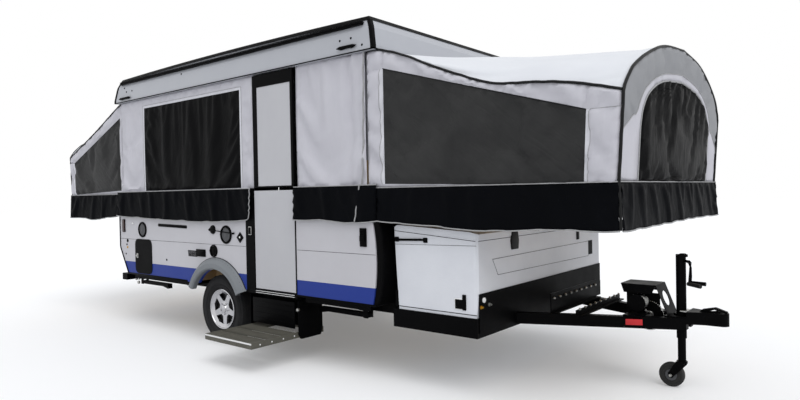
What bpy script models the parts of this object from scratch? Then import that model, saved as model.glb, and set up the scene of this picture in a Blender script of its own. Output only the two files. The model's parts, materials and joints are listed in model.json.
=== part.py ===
"""Folding camper trailer, set up: roof raised, front and rear beds out, standing on its jack.

Sizes are in metres. They are measured from the ground under the axle, with X forward,
Y to the street side and Z up. One empty then carries the whole trailer, so that the
model's origin is the seat of the hitch socket.
"""
import math

import bmesh
import bpy
from mathutils import Matrix, Vector

# Clearances
GAP = 0.0003
RUN = 0.006

# Hitch socket: the model's origin
HITCH_X = 3.80
HITCH_Z = 0.50

# Width of the body box: the chassis, wheels, roof, beds and tents follow it
BODY_W = 2.16

# Wheels and axle
WHEEL_R = 0.305
TYRE_W = 0.176
RIM_R = 0.165
RIM_LIP_R = 0.178
TRACK_Y = BODY_W / 2 - 0.115
HUB_FACE_Y = TRACK_Y - 0.06
HUB_R = 0.062
BEAM_X = 0.13
BEAM_Z = 0.375
BEAM_SIDE = 0.07
SPINDLE_R = 0.028
WHEEL_STEPS = 40

# Chassis
RAIL_Y = BODY_W / 2 - 0.285
RAIL_W = 0.05
RAIL_BOTTOM = 0.43
EDGE_Y = BODY_W / 2 - 0.045
# Stretches of the angle under the wall's foot: end, rear X, front X.
EDGE_SPANS = (("rear", -1.50, -0.50), ("front", 1.12, 1.80))
BUMPER_REAR_X = -1.87
BUMPER_W = 0.10
BUMPER_HALF_W = BODY_W / 2 - 0.08
TRAY_BOTTOM = 0.39
TRAY_BEAM = 0.06
TONGUE_BOTTOM = 0.40
TONGUE_TOP = 0.475
TONGUE_HALF_REAR = 0.53
TONGUE_END_X = 3.64
TONGUE_HALF_FRONT = 0.083
TONGUE_RAIL_W = 0.055

# Body box
WALL_T = 0.03
SILL_Z = 0.521
RAIL_TOP = SILL_Z - GAP
SIDE_TOP = 1.375
END_TOP = 1.16
REAR_X = -1.74
REAR_CUT_X = -1.572
REAR_CUT_Z = 0.80
FRONT_X = 1.845
FRONT_BOW = 0.038
BOW_STEPS = 8
NOSE_T = 0.06
FLOOR_T = 0.03
ARCH_R = 0.366
FENDER_R = 0.466
FENDER_OUT = 0.055
FENDER_T = 0.012
WHEEL_BOX_TOP = 0.74
WHEEL_BOX_HALF = 0.42
WHEEL_BOX_IN = BODY_W / 2 - 0.28

# Roof
ROOF_BOTTOM = 2.31
ROOF_SIDE_H = 0.24
ROOF_EAVES = ROOF_BOTTOM + ROOF_SIDE_H
ROOF_CROWN = 0.045
ROOF_REAR_X = -1.765
ROOF_FRONT_X = 1.905
ROOF_HALF_W = BODY_W / 2 + 0.01
ROOF_TAPER = 0.06
ROOF_T = 0.035
# Height of each ring of the roof's sides, and its share of the taper.
ROOF_LEVELS = ((ROOF_BOTTOM, 0.0), (ROOF_BOTTOM + ROOF_SIDE_H / 8, 0.0),
               (ROOF_BOTTOM + ROOF_SIDE_H * 2 / 3, 0.45), (ROOF_EAVES - 0.025, 0.92),
               (ROOF_EAVES, 1.25))
AWNING_Z = (ROOF_EAVES - 0.054, ROOF_EAVES - 0.030)
AWNING_OUT = 0.024

# Lift posts
POST_FRONT_X = 1.775
POST_REAR_X = -1.50
POST_Y = BODY_W / 2 - 0.07
POST_OUTER = 0.038
POST_INNER = 0.030
POST_ROD = 0.024
POST_TOP = 1.55
LIFT_OVERLAP = 0.06

# Tents and skirts
TENT_Y = BODY_W / 2 - 0.02
TENT_T = 0.012
BED_TENT_Y = BODY_W / 2 - 0.035
SKIRT_T = 0.012
SKIRT_TOP = 1.37
SKIRT_BOTTOM = 1.12
BED_SKIRT_TOP = 1.35
BED_TENT_BASE = BED_SKIRT_TOP + GAP
BED_SKIRT_BOTTOM = 1.092

# Beds
BED_HALF_W = BODY_W / 2 - 0.095
BED_T = 0.04
FRONT_BED_X = 3.55
REAR_BED_X = -2.935
BED_TAIL = 0.09
BED_INSET_FRONT = 0.045
BED_INSET_REAR = 0.035
LEDGE_W = 0.10
LEDGE_T = 0.035

# Entry door
DOOR_REAR_X = 0.55
DOOR_FRONT_X = 1.045
DOOR_Z = 0.545
DOOR_SPLIT = 1.352
DOOR_T = 0.03
JAMB_REAR_X = 0.431
OPENING_FRONT_X = 1.062
JAMB_PROUD = 0.004
UPPER_DOOR_BOTTOM = DOOR_SPLIT + 0.024
UPPER_DOOR_T = 0.02
UPPER_DOOR_TOP = 2.298
HEADER_H = 0.10
STILE_W = 0.055
PANEL_LIP = 0.012
LUG_R = 0.010
STOW_PIVOT_Y = ROOF_HALF_W - ROOF_T - LUG_R - 0.0007
STOW_PIVOT_Z = ROOF_BOTTOM + 0.015
STOW_LUG_X = (DOOR_REAR_X + 0.08, DOOR_FRONT_X - 0.08)
LUG_HALF = 0.015

# Front storage box
BOX_REAR_X = 1.985
BOX_FRONT_X = 2.656
BOX_HALF_W = 1.0
BOX_BOTTOM = 0.515
BOX_SEAM_REAR = 1.055
BOX_SEAM_FRONT = 1.010
BOX_T = 0.014
BOX_CORNER_R = 0.035
LID_RISE = 0.042
KICK_TOP = 0.668
KICK_T = 0.006

# Tongue jack
JACK_X = 3.59
JACK_R = 0.031
JACK_TOP = 0.877
JACK_TUBE_BOTTOM = 0.33
JACK_LEG_R = 0.025
JACK_LEG_BOTTOM = 0.178
CASTER_R = 0.08
CASTER_W = 0.05
CASTER_TRAIL = 0.064
CRANK_Z = 0.835

# Stabiliser legs
LEG_L = 0.50
LEG_W = 0.05
LEG_T = 0.025
LEG_Z = 0.405
EAR_T = 0.006
LEG_Y = RAIL_Y + 0.085
LEG_REAR_X = -1.62
LEG_FRONT_X = 1.62

# Entry step
STEP_REAR_X = 0.47
STEP_FRONT_X = 1.05
STEP_TOP = 0.24
STEP_SIDE_H = 0.045
HANGER_OUT_Y = BODY_W / 2 - 0.005
HANGER_IN_Y = HANGER_OUT_Y - 0.03
HANGER_TIE_Y = HANGER_OUT_Y - 0.091
STEP_OUT_Y = HANGER_OUT_Y + 0.445
STEP_IN_Y = HANGER_OUT_Y - 0.275
STEP_SLATS = 3
SLAT_W = 0.105
SLAT_PITCH = 0.145
HANGER_T = 0.006

# Side hatch
HATCH_X = (-1.41, -1.11)
HATCH_Z = (0.555, 0.877)
HATCH_T = 0.022
HATCH_LIP = 0.014

# Winch on the tongue
WINCH_X = 3.34
WINCH_Z = 0.55
WINCH_DRUM_R = 0.045
WINCH_GEAR_R = 0.095

ROOF_TRAVEL = ROOF_BOTTOM - SIDE_TOP - 0.01

COLORS = {
    "roof_shell": ((0.47, 0.48, 0.51), 0.35, 0.0),
    "siding": ((0.46, 0.46, 0.48), 0.40, 0.0),
    "steel_black": ((0.012, 0.012, 0.013), 0.45, 0.6),
    "trim_black": ((0.015, 0.015, 0.016), 0.50, 0.0),
    "canvas_grey": ((0.52, 0.51, 0.55), 0.85, 0.0),
    "canvas_black": ((0.008, 0.008, 0.010), 0.80, 0.0),
    "box_white": ((0.64, 0.66, 0.69), 0.55, 0.0),
    "fender_grey": ((0.26, 0.28, 0.29), 0.45, 0.0),
    "rubber": ((0.010, 0.010, 0.010), 0.85, 0.0),
    "alloy": ((0.75, 0.75, 0.76), 0.18, 1.0),
    "board": ((0.42, 0.33, 0.22), 0.70, 0.0),
    "tread_grey": ((0.12, 0.115, 0.10), 0.75, 0.3),
    "zinc": ((0.55, 0.55, 0.54), 0.35, 1.0),
}


class Yard:
    """The collections, the shared materials and the empty that carries the trailer."""

    def __init__(self):
        for item in list(bpy.data.objects):
            bpy.data.objects.remove(item, do_unlink=True)
        self.parts = self.collection("folding_camper_trailer")
        self.guides = self.collection("cutters")
        self.materials = {name: self.material(name, *look) for name, look in COLORS.items()}
        self.frame = bpy.data.objects.new("trailer_frame", None)
        self.frame.location = (-HITCH_X, 0.0, -HITCH_Z)
        self.parts.objects.link(self.frame)

    @staticmethod
    def collection(name):
        group = bpy.data.collections.new(name)
        bpy.context.scene.collection.children.link(group)
        return group

    @staticmethod
    def material(name, color, roughness, metallic):
        look = bpy.data.materials.new(name)
        look.use_nodes = True
        shader = look.node_tree.nodes["Principled BSDF"]
        shader.inputs["Base Color"].default_value = (*color, 1.0)
        shader.inputs["Roughness"].default_value = roughness
        shader.inputs["Metallic"].default_value = metallic
        return look

    def pivot(self, name, at):
        """An empty on a joint's axis, for the pieces that turn or slide there."""
        empty = bpy.data.objects.new(name, None)
        empty.parent = self.frame
        empty.location = at
        self.parts.objects.link(empty)
        return empty

    def add(self, name, mesh, look, at=(0, 0, 0), turn=(0, 0, 0), pivot=None):
        """Puts a mesh in the model as a named piece; look None makes it a cutter."""
        item = bpy.data.objects.new(name, mesh)
        item.parent = pivot or self.frame
        offset = pivot.location if pivot else Vector((0, 0, 0))
        item.location = Vector(at) - offset
        item.rotation_euler = turn
        if look is None:
            item.hide_render = True
            item.display_type = "WIRE"
            self.guides.objects.link(item)
        else:
            mesh.materials.append(self.materials[look])
            self.parts.objects.link(item)
        return item


def finish_mesh(work, name):
    bmesh.ops.recalc_face_normals(work, faces=work.faces)
    mesh = bpy.data.meshes.new(name)
    work.to_mesh(mesh)
    work.free()
    return mesh


def cube_mesh(name, size):
    work = bmesh.new()
    bmesh.ops.create_cube(work, size=1.0, matrix=Matrix.Diagonal((*size, 1.0)))
    return finish_mesh(work, name)


def block(yard, name, look, low, high, bevel=0.0, pivot=None):
    """A box between two corners, its edges rounded by a Bevel modifier."""
    low, high = Vector(low), Vector(high)
    item = yard.add(name, cube_mesh(name, high - low), look, (low + high) / 2, pivot=pivot)
    if bevel:
        round_edges(item, bevel)
    return item


def round_edges(item, width, segments=2, angle=35.0):
    bevel = item.modifiers.new("rounded", "BEVEL")
    bevel.width = width
    bevel.segments = segments
    bevel.limit_method = "ANGLE"
    bevel.angle_limit = math.radians(angle)
    return bevel


def rod(yard, name, look, radius, start, end, sides=24, end_radius=None, pivot=None):
    """A round bar, or a cone, from one point to another."""
    start, end = Vector(start), Vector(end)
    work = bmesh.new()
    bmesh.ops.create_cone(work, cap_ends=True, segments=sides, radius1=radius,
                          radius2=radius if end_radius is None else end_radius,
                          depth=(end - start).length)
    turn = Vector((0, 0, 1)).rotation_difference(end - start).to_euler()
    item = yard.add(name, finish_mesh(work, name), look, (start + end) / 2, turn, pivot)
    shade(item)
    return item


def shade(item, angle=35.0):
    item.data.shade_smooth()
    item.data.set_sharp_from_angle(angle=math.radians(angle))


def to_mesh(curve_item, name):
    """The closed mesh of a curve object, its caps welded on."""
    bpy.context.view_layer.update()
    graph = bpy.context.evaluated_depsgraph_get()
    mesh = bpy.data.meshes.new_from_object(curve_item.evaluated_get(graph))
    bpy.data.objects.remove(curve_item, do_unlink=True)
    work = bmesh.new()
    work.from_mesh(mesh)
    bmesh.ops.remove_doubles(work, verts=work.verts, dist=1e-5)
    mesh.clear_geometry()
    bmesh.ops.recalc_face_normals(work, faces=work.faces)
    work.to_mesh(mesh)
    work.free()
    mesh.name = name
    return mesh


# Turns that lay a flat outline (u, v) in the plane it is named for, with its thickness
# along the third axis: XZ has u along X and v along Z.
PLANES = {
    "XY": (0.0, 0.0, 0.0),
    "XZ": (math.pi / 2, 0.0, 0.0),
    "YZ": (math.pi / 2, 0.0, math.pi / 2),
}
THIRD_AXIS = {"XY": 2, "XZ": 1, "YZ": 0}


def plate(yard, name, look, plane, outlines, low, high, pivot=None):
    """A flat outline, with holes if more outlines follow, between two depths."""
    curve = bpy.data.curves.new(name, "CURVE")
    curve.dimensions = "2D"
    curve.fill_mode = "BOTH"
    curve.extrude = (high - low) / 2
    for outline in outlines:
        spline = curve.splines.new("POLY")
        spline.points.add(len(outline) - 1)
        for point, (u, v) in zip(spline.points, outline):
            point.co = (u, v, 0.0, 1.0)
        spline.use_cyclic_u = True
    item = bpy.data.objects.new(name, curve)
    bpy.context.scene.collection.objects.link(item)
    at = [0.0, 0.0, 0.0]
    at[THIRD_AXIS[plane]] = (low + high) / 2
    return yard.add(name, to_mesh(item, name), look, at, PLANES[plane], pivot)


def tube(yard, name, look, radius, points, resolution=2, pivot=None, at=(0, 0, 0)):
    """A bent round bar through the given points."""
    curve = bpy.data.curves.new(name, "CURVE")
    curve.dimensions = "3D"
    curve.bevel_depth = radius
    curve.bevel_resolution = resolution
    curve.use_fill_caps = True
    spline = curve.splines.new("POLY")
    spline.points.add(len(points) - 1)
    for point, place in zip(spline.points, points):
        point.co = (*place, 1.0)
    item = bpy.data.objects.new(name, curve)
    bpy.context.scene.collection.objects.link(item)
    return yard.add(name, to_mesh(item, name), look, at, pivot=pivot)


def turned(yard, name, look, profile, steps, at, turn, closed=True, pivot=None):
    """A profile of (radius, height) points turned about local Z by a Screw modifier."""
    work = bmesh.new()
    verts = [work.verts.new((radius, 0.0, height)) for radius, height in profile]
    for first, second in zip(verts, verts[1:]):
        work.edges.new((first, second))
    if closed:
        work.edges.new((verts[-1], verts[0]))
    mesh = bpy.data.meshes.new(name)
    work.to_mesh(mesh)
    work.free()
    item = yard.add(name, mesh, look, at, turn, pivot)
    screw = item.modifiers.new("turned", "SCREW")
    screw.axis = "Z"
    screw.steps = steps
    screw.render_steps = steps
    screw.use_merge_vertices = True
    screw.merge_threshold = 1e-5
    return item


def boolean(item, other, kind):
    step = item.modifiers.new(kind.lower() + "_" + other.name, "BOOLEAN")
    step.operation = kind
    step.object = other
    step.solver = "EXACT"
    return item


def cut(item, *cutters):
    for cutter in cutters:
        boolean(item, cutter, "DIFFERENCE")
    return item


def fuse(item, *others):
    for other in others:
        boolean(item, other, "UNION")
    return item


def arc(center, radius, start, end, count):
    """Points on an arc, with angles in degrees."""
    points = []
    for index in range(count):
        angle = math.radians(start + (end - start) * index / (count - 1))
        points.append((center[0] + radius * math.cos(angle),
                       center[1] + radius * math.sin(angle)))
    return points


def rounded_rectangle(u_range, v_range, radius, count=4):
    """An outline with four round corners."""
    (u0, u1), (v0, v1) = u_range, v_range
    corners = (((u1 - radius, v0 + radius), -90), ((u1 - radius, v1 - radius), 0),
               ((u0 + radius, v1 - radius), 90), ((u0 + radius, v0 + radius), 180))
    points = []
    for center, start in corners:
        points += arc(center, radius, start, start + 90, count)
    return points


def front_edge(height):
    """X of the side wall's bowed front edge at a height."""
    middle = (SILL_Z + END_TOP) / 2
    share = min(1.0, abs(height - middle) / (middle - SILL_Z))
    return FRONT_X + FRONT_BOW * (1.0 - share * share)


def bow_heights():
    return [SILL_Z + (END_TOP - SILL_Z) * index / BOW_STEPS for index in range(BOW_STEPS + 1)]


def chassis(yard):
    """Two main rails with cross members, outriggers, box tray, bumper and tongue."""
    body = block(yard, "chassis", "steel_black",
                 (BUMPER_REAR_X + BUMPER_W - 0.01, RAIL_Y - RAIL_W / 2, RAIL_BOTTOM),
                 (BOX_REAR_X + 0.02, RAIL_Y + RAIL_W / 2, RAIL_TOP))
    other = block(yard, "rail_right_blank", None,
                  (BUMPER_REAR_X + BUMPER_W - 0.01, -RAIL_Y - RAIL_W / 2, RAIL_BOTTOM),
                  (BOX_REAR_X + 0.02, -RAIL_Y + RAIL_W / 2, RAIL_TOP))
    pieces = [other]
    pieces.append(block(yard, "bumper_blank", None,
                        (BUMPER_REAR_X, -BUMPER_HALF_W, RAIL_BOTTOM),
                        (BUMPER_REAR_X + BUMPER_W, BUMPER_HALF_W, RAIL_BOTTOM + 0.07)))
    for index, place in enumerate((-1.0, -0.34, 0.40, 1.20, 1.85)):
        pieces.append(block(yard, "crossmember_blank_%d" % index, None,
                            (place - 0.025, -RAIL_Y, RAIL_BOTTOM + 0.01),
                            (place + 0.025, RAIL_Y, RAIL_TOP - 0.01)))
    for index, place in enumerate((-1.40, -0.52, 1.15, 1.70)):
        pieces.append(block(yard, "outrigger_blank_%d" % index, None,
                            (place - 0.02, -EDGE_Y - 0.01, RAIL_TOP - 0.045),
                            (place + 0.02, EDGE_Y + 0.01, RAIL_TOP)))
    for side in (-1, 1):
        label = "left" if side > 0 else "right"
        for end, low, high in EDGE_SPANS:
            near, far = sorted((side * (EDGE_Y - 0.015), side * (EDGE_Y + 0.015)))
            pieces.append(block(yard, "edge_%s_%s_blank" % (end, label), None,
                                (low, near, RAIL_TOP - 0.04), (high, far, RAIL_TOP)))
        near, far = sorted((side * (BOX_HALF_W - 0.03), side * (BOX_HALF_W + 0.01)))
        pieces.append(block(yard, "tray_side_%s_blank" % label, None,
                            (BOX_REAR_X - 0.01, near, TRAY_BOTTOM),
                            (BOX_FRONT_X, far, BOX_BOTTOM - GAP)))
    for end, low, high in (("rear", BOX_REAR_X - 0.01, BOX_REAR_X + TRAY_BEAM),
                           ("front", BOX_FRONT_X - TRAY_BEAM, BOX_FRONT_X)):
        pieces.append(block(yard, "tray_%s_blank" % end, None,
                            (low, -BOX_HALF_W - 0.01, TRAY_BOTTOM),
                            (high, BOX_HALF_W + 0.01, BOX_BOTTOM - GAP)))
    for side in (-1, 1):
        label = "left" if side > 0 else "right"
        outline = [(BOX_FRONT_X - TRAY_BEAM, side * TONGUE_HALF_REAR),
                   (TONGUE_END_X, side * TONGUE_HALF_FRONT),
                   (TONGUE_END_X, side * (TONGUE_HALF_FRONT - TONGUE_RAIL_W)),
                   (BOX_FRONT_X - TRAY_BEAM, side * (TONGUE_HALF_REAR - TONGUE_RAIL_W))]
        pieces.append(plate(yard, "tongue_%s_blank" % label, None, "XY", [outline],
                            TONGUE_BOTTOM, TONGUE_TOP))
    plate_outline = [(JACK_X - 0.08, -0.10), (JACK_X + 0.05, -0.085),
                     (JACK_X + 0.05, 0.085), (JACK_X - 0.08, 0.10)]
    pieces.append(plate(yard, "jack_plate_blank", None, "XY",
                        [plate_outline, arc((JACK_X, 0), JACK_R + GAP, 0, 345, 24)],
                        TONGUE_TOP - 0.002, TONGUE_TOP + 0.008))
    # Two angle bars stand across the tongue as a rack.
    for index, (place, low) in enumerate(((2.86, TONGUE_TOP), (3.04, TONGUE_TOP))):
        height = 0.135 if index == 0 else 0.04
        pieces.append(block(yard, "rack_blank_%d" % index, None,
                            (place - 0.004, -0.40, low - 0.002),
                            (place + 0.004, 0.40, low + height)))
        pieces.append(block(yard, "rack_foot_blank_%d" % index, None,
                            (place - 0.004, -0.40, low - 0.002),
                            (place + 0.036, 0.40, low + 0.006)))
    for side in (-1, 1):
        near, far = sorted((side * (RAIL_Y - 0.05), side * (RAIL_Y + 0.03)))
        pieces.append(block(yard, "saddle_%d_blank" % side, None,
                            (BEAM_X - 0.05, near, BEAM_Z + BEAM_SIDE / 2 + GAP),
                            (BEAM_X + 0.05, far, RAIL_BOTTOM + 0.002)))
    for name, x_place, at_y, _ in stabiliser_places():
        side = 1 if at_y > 0 else -1
        near, far = sorted((side * RAIL_Y, at_y + side * (LEG_W / 2 + EAR_T)))
        pieces.append(block(yard, name + "_arm_blank", None, (x_place - 0.03, near, LEG_Z + 0.034),
                            (x_place + 0.03, far, RAIL_BOTTOM + 0.03)))
        for face in (-1, 1):
            low, high = sorted((at_y + face * (LEG_W / 2 + GAP), at_y + face * (LEG_W / 2 + EAR_T)))
            pieces.append(block(yard, name + "_ear_%d_blank" % face, None,
                                (x_place - 0.022, low, LEG_Z - 0.018),
                                (x_place + 0.022, high, LEG_Z + 0.036)))
    fuse(body, *pieces)


def stabiliser_places():
    """Each corner leg's name, hinge place along and across, and the way it points."""
    return [("stabiliser_%s_%s" % (end, label), x_place, side * LEG_Y, way)
            for end, x_place, way in (("rear", LEG_REAR_X, 1), ("front", LEG_FRONT_X, -1))
            for label, side in (("right", -1), ("left", 1))]


def coupler(yard):
    """Ball coupler on the tongue's end; its socket is open below."""
    outline = [(TONGUE_END_X + GAP, -TONGUE_HALF_FRONT),
               (TONGUE_END_X + GAP + 0.10, -0.045), (HITCH_X + 0.03, -0.042)]
    outline += arc((HITCH_X + 0.03, 0), 0.042, -70, 70, 9)
    outline += [(HITCH_X + 0.03, 0.042), (TONGUE_END_X + GAP + 0.10, 0.045),
                (TONGUE_END_X + GAP, TONGUE_HALF_FRONT)]
    item = plate(yard, "coupler", "steel_black", "XY", [outline], 0.437, 0.517)
    socket = rod(yard, "socket_cutter", None, 0.0262, (HITCH_X, 0, 0.42),
                 (HITCH_X, 0, HITCH_Z), sides=32)
    mouth = rod(yard, "socket_mouth_cutter", None, 0.034, (HITCH_X, 0, 0.43),
                (HITCH_X, 0, 0.445), sides=32, end_radius=0.0262)
    cut(item, socket, mouth)
    bar = plate(yard, "latch_blank", None, "XZ",
                [[(3.70, 0.515), (3.735, 0.515), (3.79, 0.535), (3.86, 0.515),
                  (3.865, 0.527), (3.795, 0.550), (3.72, 0.533)]], -0.012, 0.012)
    fuse(item, bar)


def axle(yard):
    """Torsion axle: a square beam, trailing arms and hubs."""
    half = RAIL_Y + 0.04
    item = block(yard, "axle", "steel_black",
                 (BEAM_X - BEAM_SIDE / 2, -half, BEAM_Z - BEAM_SIDE / 2),
                 (BEAM_X + BEAM_SIDE / 2, half, BEAM_Z + BEAM_SIDE / 2))
    pieces = []
    for side in (-1, 1):
        near, far = sorted((side * (half - 0.004), side * (half + 0.026)))
        arm = [(BEAM_X + 0.03, BEAM_Z - 0.03), (BEAM_X + 0.03, BEAM_Z + 0.03),
               (BEAM_X - 0.03, BEAM_Z + 0.034), (-0.03, WHEEL_R + 0.03),
               (-0.04, WHEEL_R), (-0.02, WHEEL_R - 0.032), (0.02, WHEEL_R - 0.034)]
        pieces.append(plate(yard, "arm_%d_blank" % side, None, "XZ", [arm], near, far))
        pieces.append(rod(yard, "spindle_%d_blank" % side, None, SPINDLE_R,
                          (0, side * (half + 0.02), WHEEL_R),
                          (0, side * (HUB_FACE_Y - 0.01), WHEEL_R)))
        pieces.append(rod(yard, "hub_%d_blank" % side, None, HUB_R,
                          (0, side * (HUB_FACE_Y - 0.022), WHEEL_R),
                          (0, side * (HUB_FACE_Y - GAP), WHEEL_R)))
    fuse(item, *pieces)


TYRE_PROFILE = (
    (RIM_R + GAP, 0.060), (0.183, 0.0605), (0.205, 0.080), (0.240, 0.088), (0.275, 0.084),
    (0.296, 0.070), (0.304, 0.050), (WHEEL_R, 0.020),
)


def wheel(yard, label, side):
    """One road wheel: a tyre, and a five-spoke alloy rim that seats on the hub."""
    pivot = yard.pivot("spin_" + label, (0, side * TRACK_Y, WHEEL_R))
    turn = (-side * math.pi / 2, 0, 0)
    at = (0, side * TRACK_Y, WHEEL_R)
    outer = [point for point in reversed(TYRE_PROFILE)]
    profile = [(radius, height) for radius, height in TYRE_PROFILE]
    profile += [(radius, -height) for radius, height in outer]
    turned(yard, "tyre_" + label, "rubber", profile, WHEEL_STEPS, at, turn, pivot=pivot)
    back = HUB_FACE_Y - TRACK_Y
    rim_profile = [(0.0, 0.058), (0.030, 0.058), (0.036, 0.048), (0.060, 0.044),
                   (0.140, 0.050), (0.156, 0.062), (0.170, 0.071), (RIM_LIP_R, 0.070),
                   (RIM_LIP_R, 0.0612), (RIM_R, 0.0608), (RIM_R, -0.0608),
                   (RIM_LIP_R, -0.0612), (RIM_LIP_R, -0.070), (0.168, -0.071),
                   (0.153, -0.060), (0.150, 0.028), (0.135, 0.030), (0.070, 0.022),
                   (0.064, back), (0.0, back)]
    rim = turned(yard, "rim_" + label, "alloy", rim_profile, WHEEL_STEPS, at, turn, closed=False,
                 pivot=pivot)
    windows = bmesh.new()
    for index in range(5):
        middle = math.radians(72 * index + 90 + 180 / WHEEL_STEPS)
        rows = []
        for radius, half in ((0.072, 0.20), (0.105, 0.38), (0.140, 0.46)):
            rows.append([(radius, middle - half), (radius, middle + half)])
        ring = [row[0] for row in rows] + [(0.1445, middle)]
        ring += [row[1] for row in reversed(rows)]
        layers = []
        for height in (0.0, 0.10):
            layers.append([windows.verts.new((r * math.cos(a), r * math.sin(a), height))
                           for r, a in ring])
        windows.faces.new(list(reversed(layers[0])))
        windows.faces.new(layers[1])
        for first in range(len(ring)):
            second = (first + 1) % len(ring)
            windows.faces.new((layers[0][first], layers[0][second],
                               layers[1][second], layers[1][first]))
    cutter = yard.add("spoke_cutter_" + label, finish_mesh(windows, "spoke_cutter"), None,
                      at, turn, pivot)
    cut(rim, cutter)


def side_outline(rear_x=None, front_x=None):
    """A side wall seen from the side: a straight cut where X is given, or else its own
    rear edge, with the cut corner, and its own bowed front edge."""
    points = [(REAR_CUT_X, SILL_Z), (REAR_X, REAR_CUT_Z), (REAR_X, SIDE_TOP)]
    if rear_x is not None:
        points = [(rear_x, SILL_Z), (rear_x, SIDE_TOP)]
    if front_x is not None:
        return points + [(front_x, SIDE_TOP), (front_x, SILL_Z)]
    heights = [SIDE_TOP] + list(reversed(bow_heights()))
    return points + [(front_edge(height), height) for height in heights]


def arch_cutter(yard, name, near, far):
    outline = arc((0, WHEEL_R), ARCH_R, -8, 188, 25)
    outline += [(-ARCH_R, SILL_Z - 0.2), (ARCH_R, SILL_Z - 0.2)]
    return plate(yard, name, None, "XZ", [outline], near, far)


def body_box(yard):
    """Floor, four walls, the door jamb and the wheel arch flares."""
    half = BODY_W / 2
    inner = half - WALL_T
    ledge_z = END_TOP - LEDGE_T
    panels = (("right_rear", -1, None, JAMB_REAR_X), ("right_front", -1, OPENING_FRONT_X, None),
              ("left", 1, None, None))
    for label, side, rear_x, front_x in panels:
        near, far = sorted((side * inner, side * half))
        wall = plate(yard, "wall_" + label, "siding", "XZ", [side_outline(rear_x, front_x)],
                     near, far)
        low, high = sorted((side * (inner - LEDGE_W), side * (inner + 0.001)))
        ledge_start = POST_REAR_X + 0.05 if rear_x is None else rear_x
        ledge_end = POST_FRONT_X - 0.05 if front_x is None else front_x
        fuse(wall, block(yard, "bed_ledge_%s_blank" % label, None,
                         (ledge_start, low, ledge_z), (ledge_end, high, END_TOP - GAP)))
        if rear_x is None:
            cut(wall, arch_cutter(yard, "arch_cutter_" + label,
                                  *sorted((side * (inner - 0.35), side * (half + 0.12)))))
        if label == "right_rear":
            hatch_hole = rounded_rectangle((HATCH_X[0] - RUN, HATCH_X[1] + RUN),
                                           (HATCH_Z[0] - RUN, HATCH_Z[1] + RUN), 0.05)
            cut(wall, plate(yard, "hatch_cutter", None, "XZ", [hatch_hole], -half - 0.12, -inner + 0.05))
    nose_heights = bow_heights()
    nose = [(front_edge(height) + GAP, height) for height in nose_heights]
    nose += [(front_edge(height) + NOSE_T, height) for height in reversed(nose_heights[1:-1])]
    nose.insert(len(nose_heights), (front_edge(END_TOP) + NOSE_T * 0.6, END_TOP - GAP))
    nose[len(nose_heights) - 1] = (front_edge(END_TOP) + GAP, END_TOP - GAP)
    nose.append((front_edge(SILL_Z) + NOSE_T * 0.6, SILL_Z))
    front = plate(yard, "wall_front", "trim_black", "XZ", [nose], -half + 0.006, half - 0.006)
    round_edges(front, 0.012, angle=60)
    rear = [(REAR_CUT_X, SILL_Z), (REAR_X, REAR_CUT_Z), (REAR_X, END_TOP - GAP),
            (REAR_X + WALL_T, END_TOP - GAP), (REAR_X + WALL_T, REAR_CUT_Z + 0.01),
            (REAR_CUT_X + WALL_T + 0.005, SILL_Z)]
    plate(yard, "wall_rear", "siding", "XZ", [rear], -inner + GAP, inner - GAP)
    floor_panel(yard, inner)
    door_jamb(yard, half)
    for label, side in (("right", -1), ("left", 1)):
        fender(yard, label, side, half)


def floor_panel(yard, inner):
    """The floor with its two wheel boxes and the four hollow lift posts."""
    top = SILL_Z + FLOOR_T
    floor = block(yard, "floor", "board",
                  (REAR_CUT_X + WALL_T + 0.010, -inner + GAP, SILL_Z),
                  (FRONT_X - GAP, inner - GAP, top))
    for label, side in (("right", -1), ("left", 1)):
        near, far = sorted((side * WHEEL_BOX_IN, side * (inner - GAP)))
        raised = block(yard, "wheel_box_%s_blank" % label, None,
                       (-WHEEL_BOX_HALF, near, SILL_Z + 0.005),
                       (WHEEL_BOX_HALF, far, WHEEL_BOX_TOP))
        near, far = sorted((side * (WHEEL_BOX_IN + 0.012), side * (inner + WALL_T + 0.12)))
        hollow = block(yard, "wheel_box_%s_cutter" % label, None,
                       (-WHEEL_BOX_HALF + 0.012, near, SILL_Z - 0.1),
                       (WHEEL_BOX_HALF - 0.012, far, WHEEL_BOX_TOP - 0.012))
        fuse(floor, raised)
        cut(floor, hollow)
    for name, x_place, y_place in post_places():
        outer = POST_OUTER / 2
        bore = POST_INNER / 2
        post = block(yard, "post_%s_blank" % name, None,
                     (x_place - outer, y_place - outer, top - 0.005),
                     (x_place + outer, y_place + outer, POST_TOP))
        hole = block(yard, "post_%s_cutter" % name, None,
                     (x_place - bore, y_place - bore, top + 0.002),
                     (x_place + bore, y_place + bore, POST_TOP + 0.1))
        fuse(floor, post)
        cut(floor, hole)


def post_places():
    return [(x_name + "_" + y_name, x_place, side * POST_Y)
            for x_name, x_place in (("front", POST_FRONT_X), ("rear", POST_REAR_X))
            for y_name, side in (("right", -1), ("left", 1))]


def door_jamb(yard, half):
    """The black frame that lines the door opening, with its sill."""
    outer = [(JAMB_REAR_X + GAP, SILL_Z - 0.02), (OPENING_FRONT_X - GAP, SILL_Z - 0.02),
             (OPENING_FRONT_X - GAP, SIDE_TOP), (DOOR_FRONT_X + RUN, SIDE_TOP),
             (DOOR_FRONT_X + RUN, DOOR_Z - RUN), (DOOR_REAR_X - RUN, DOOR_Z - RUN),
             (DOOR_REAR_X - RUN, SIDE_TOP), (JAMB_REAR_X + GAP, SIDE_TOP)]
    plate(yard, "door_jamb", "trim_black", "XZ", [outer], -half - JAMB_PROUD, -half + WALL_T - 0.002)


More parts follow.
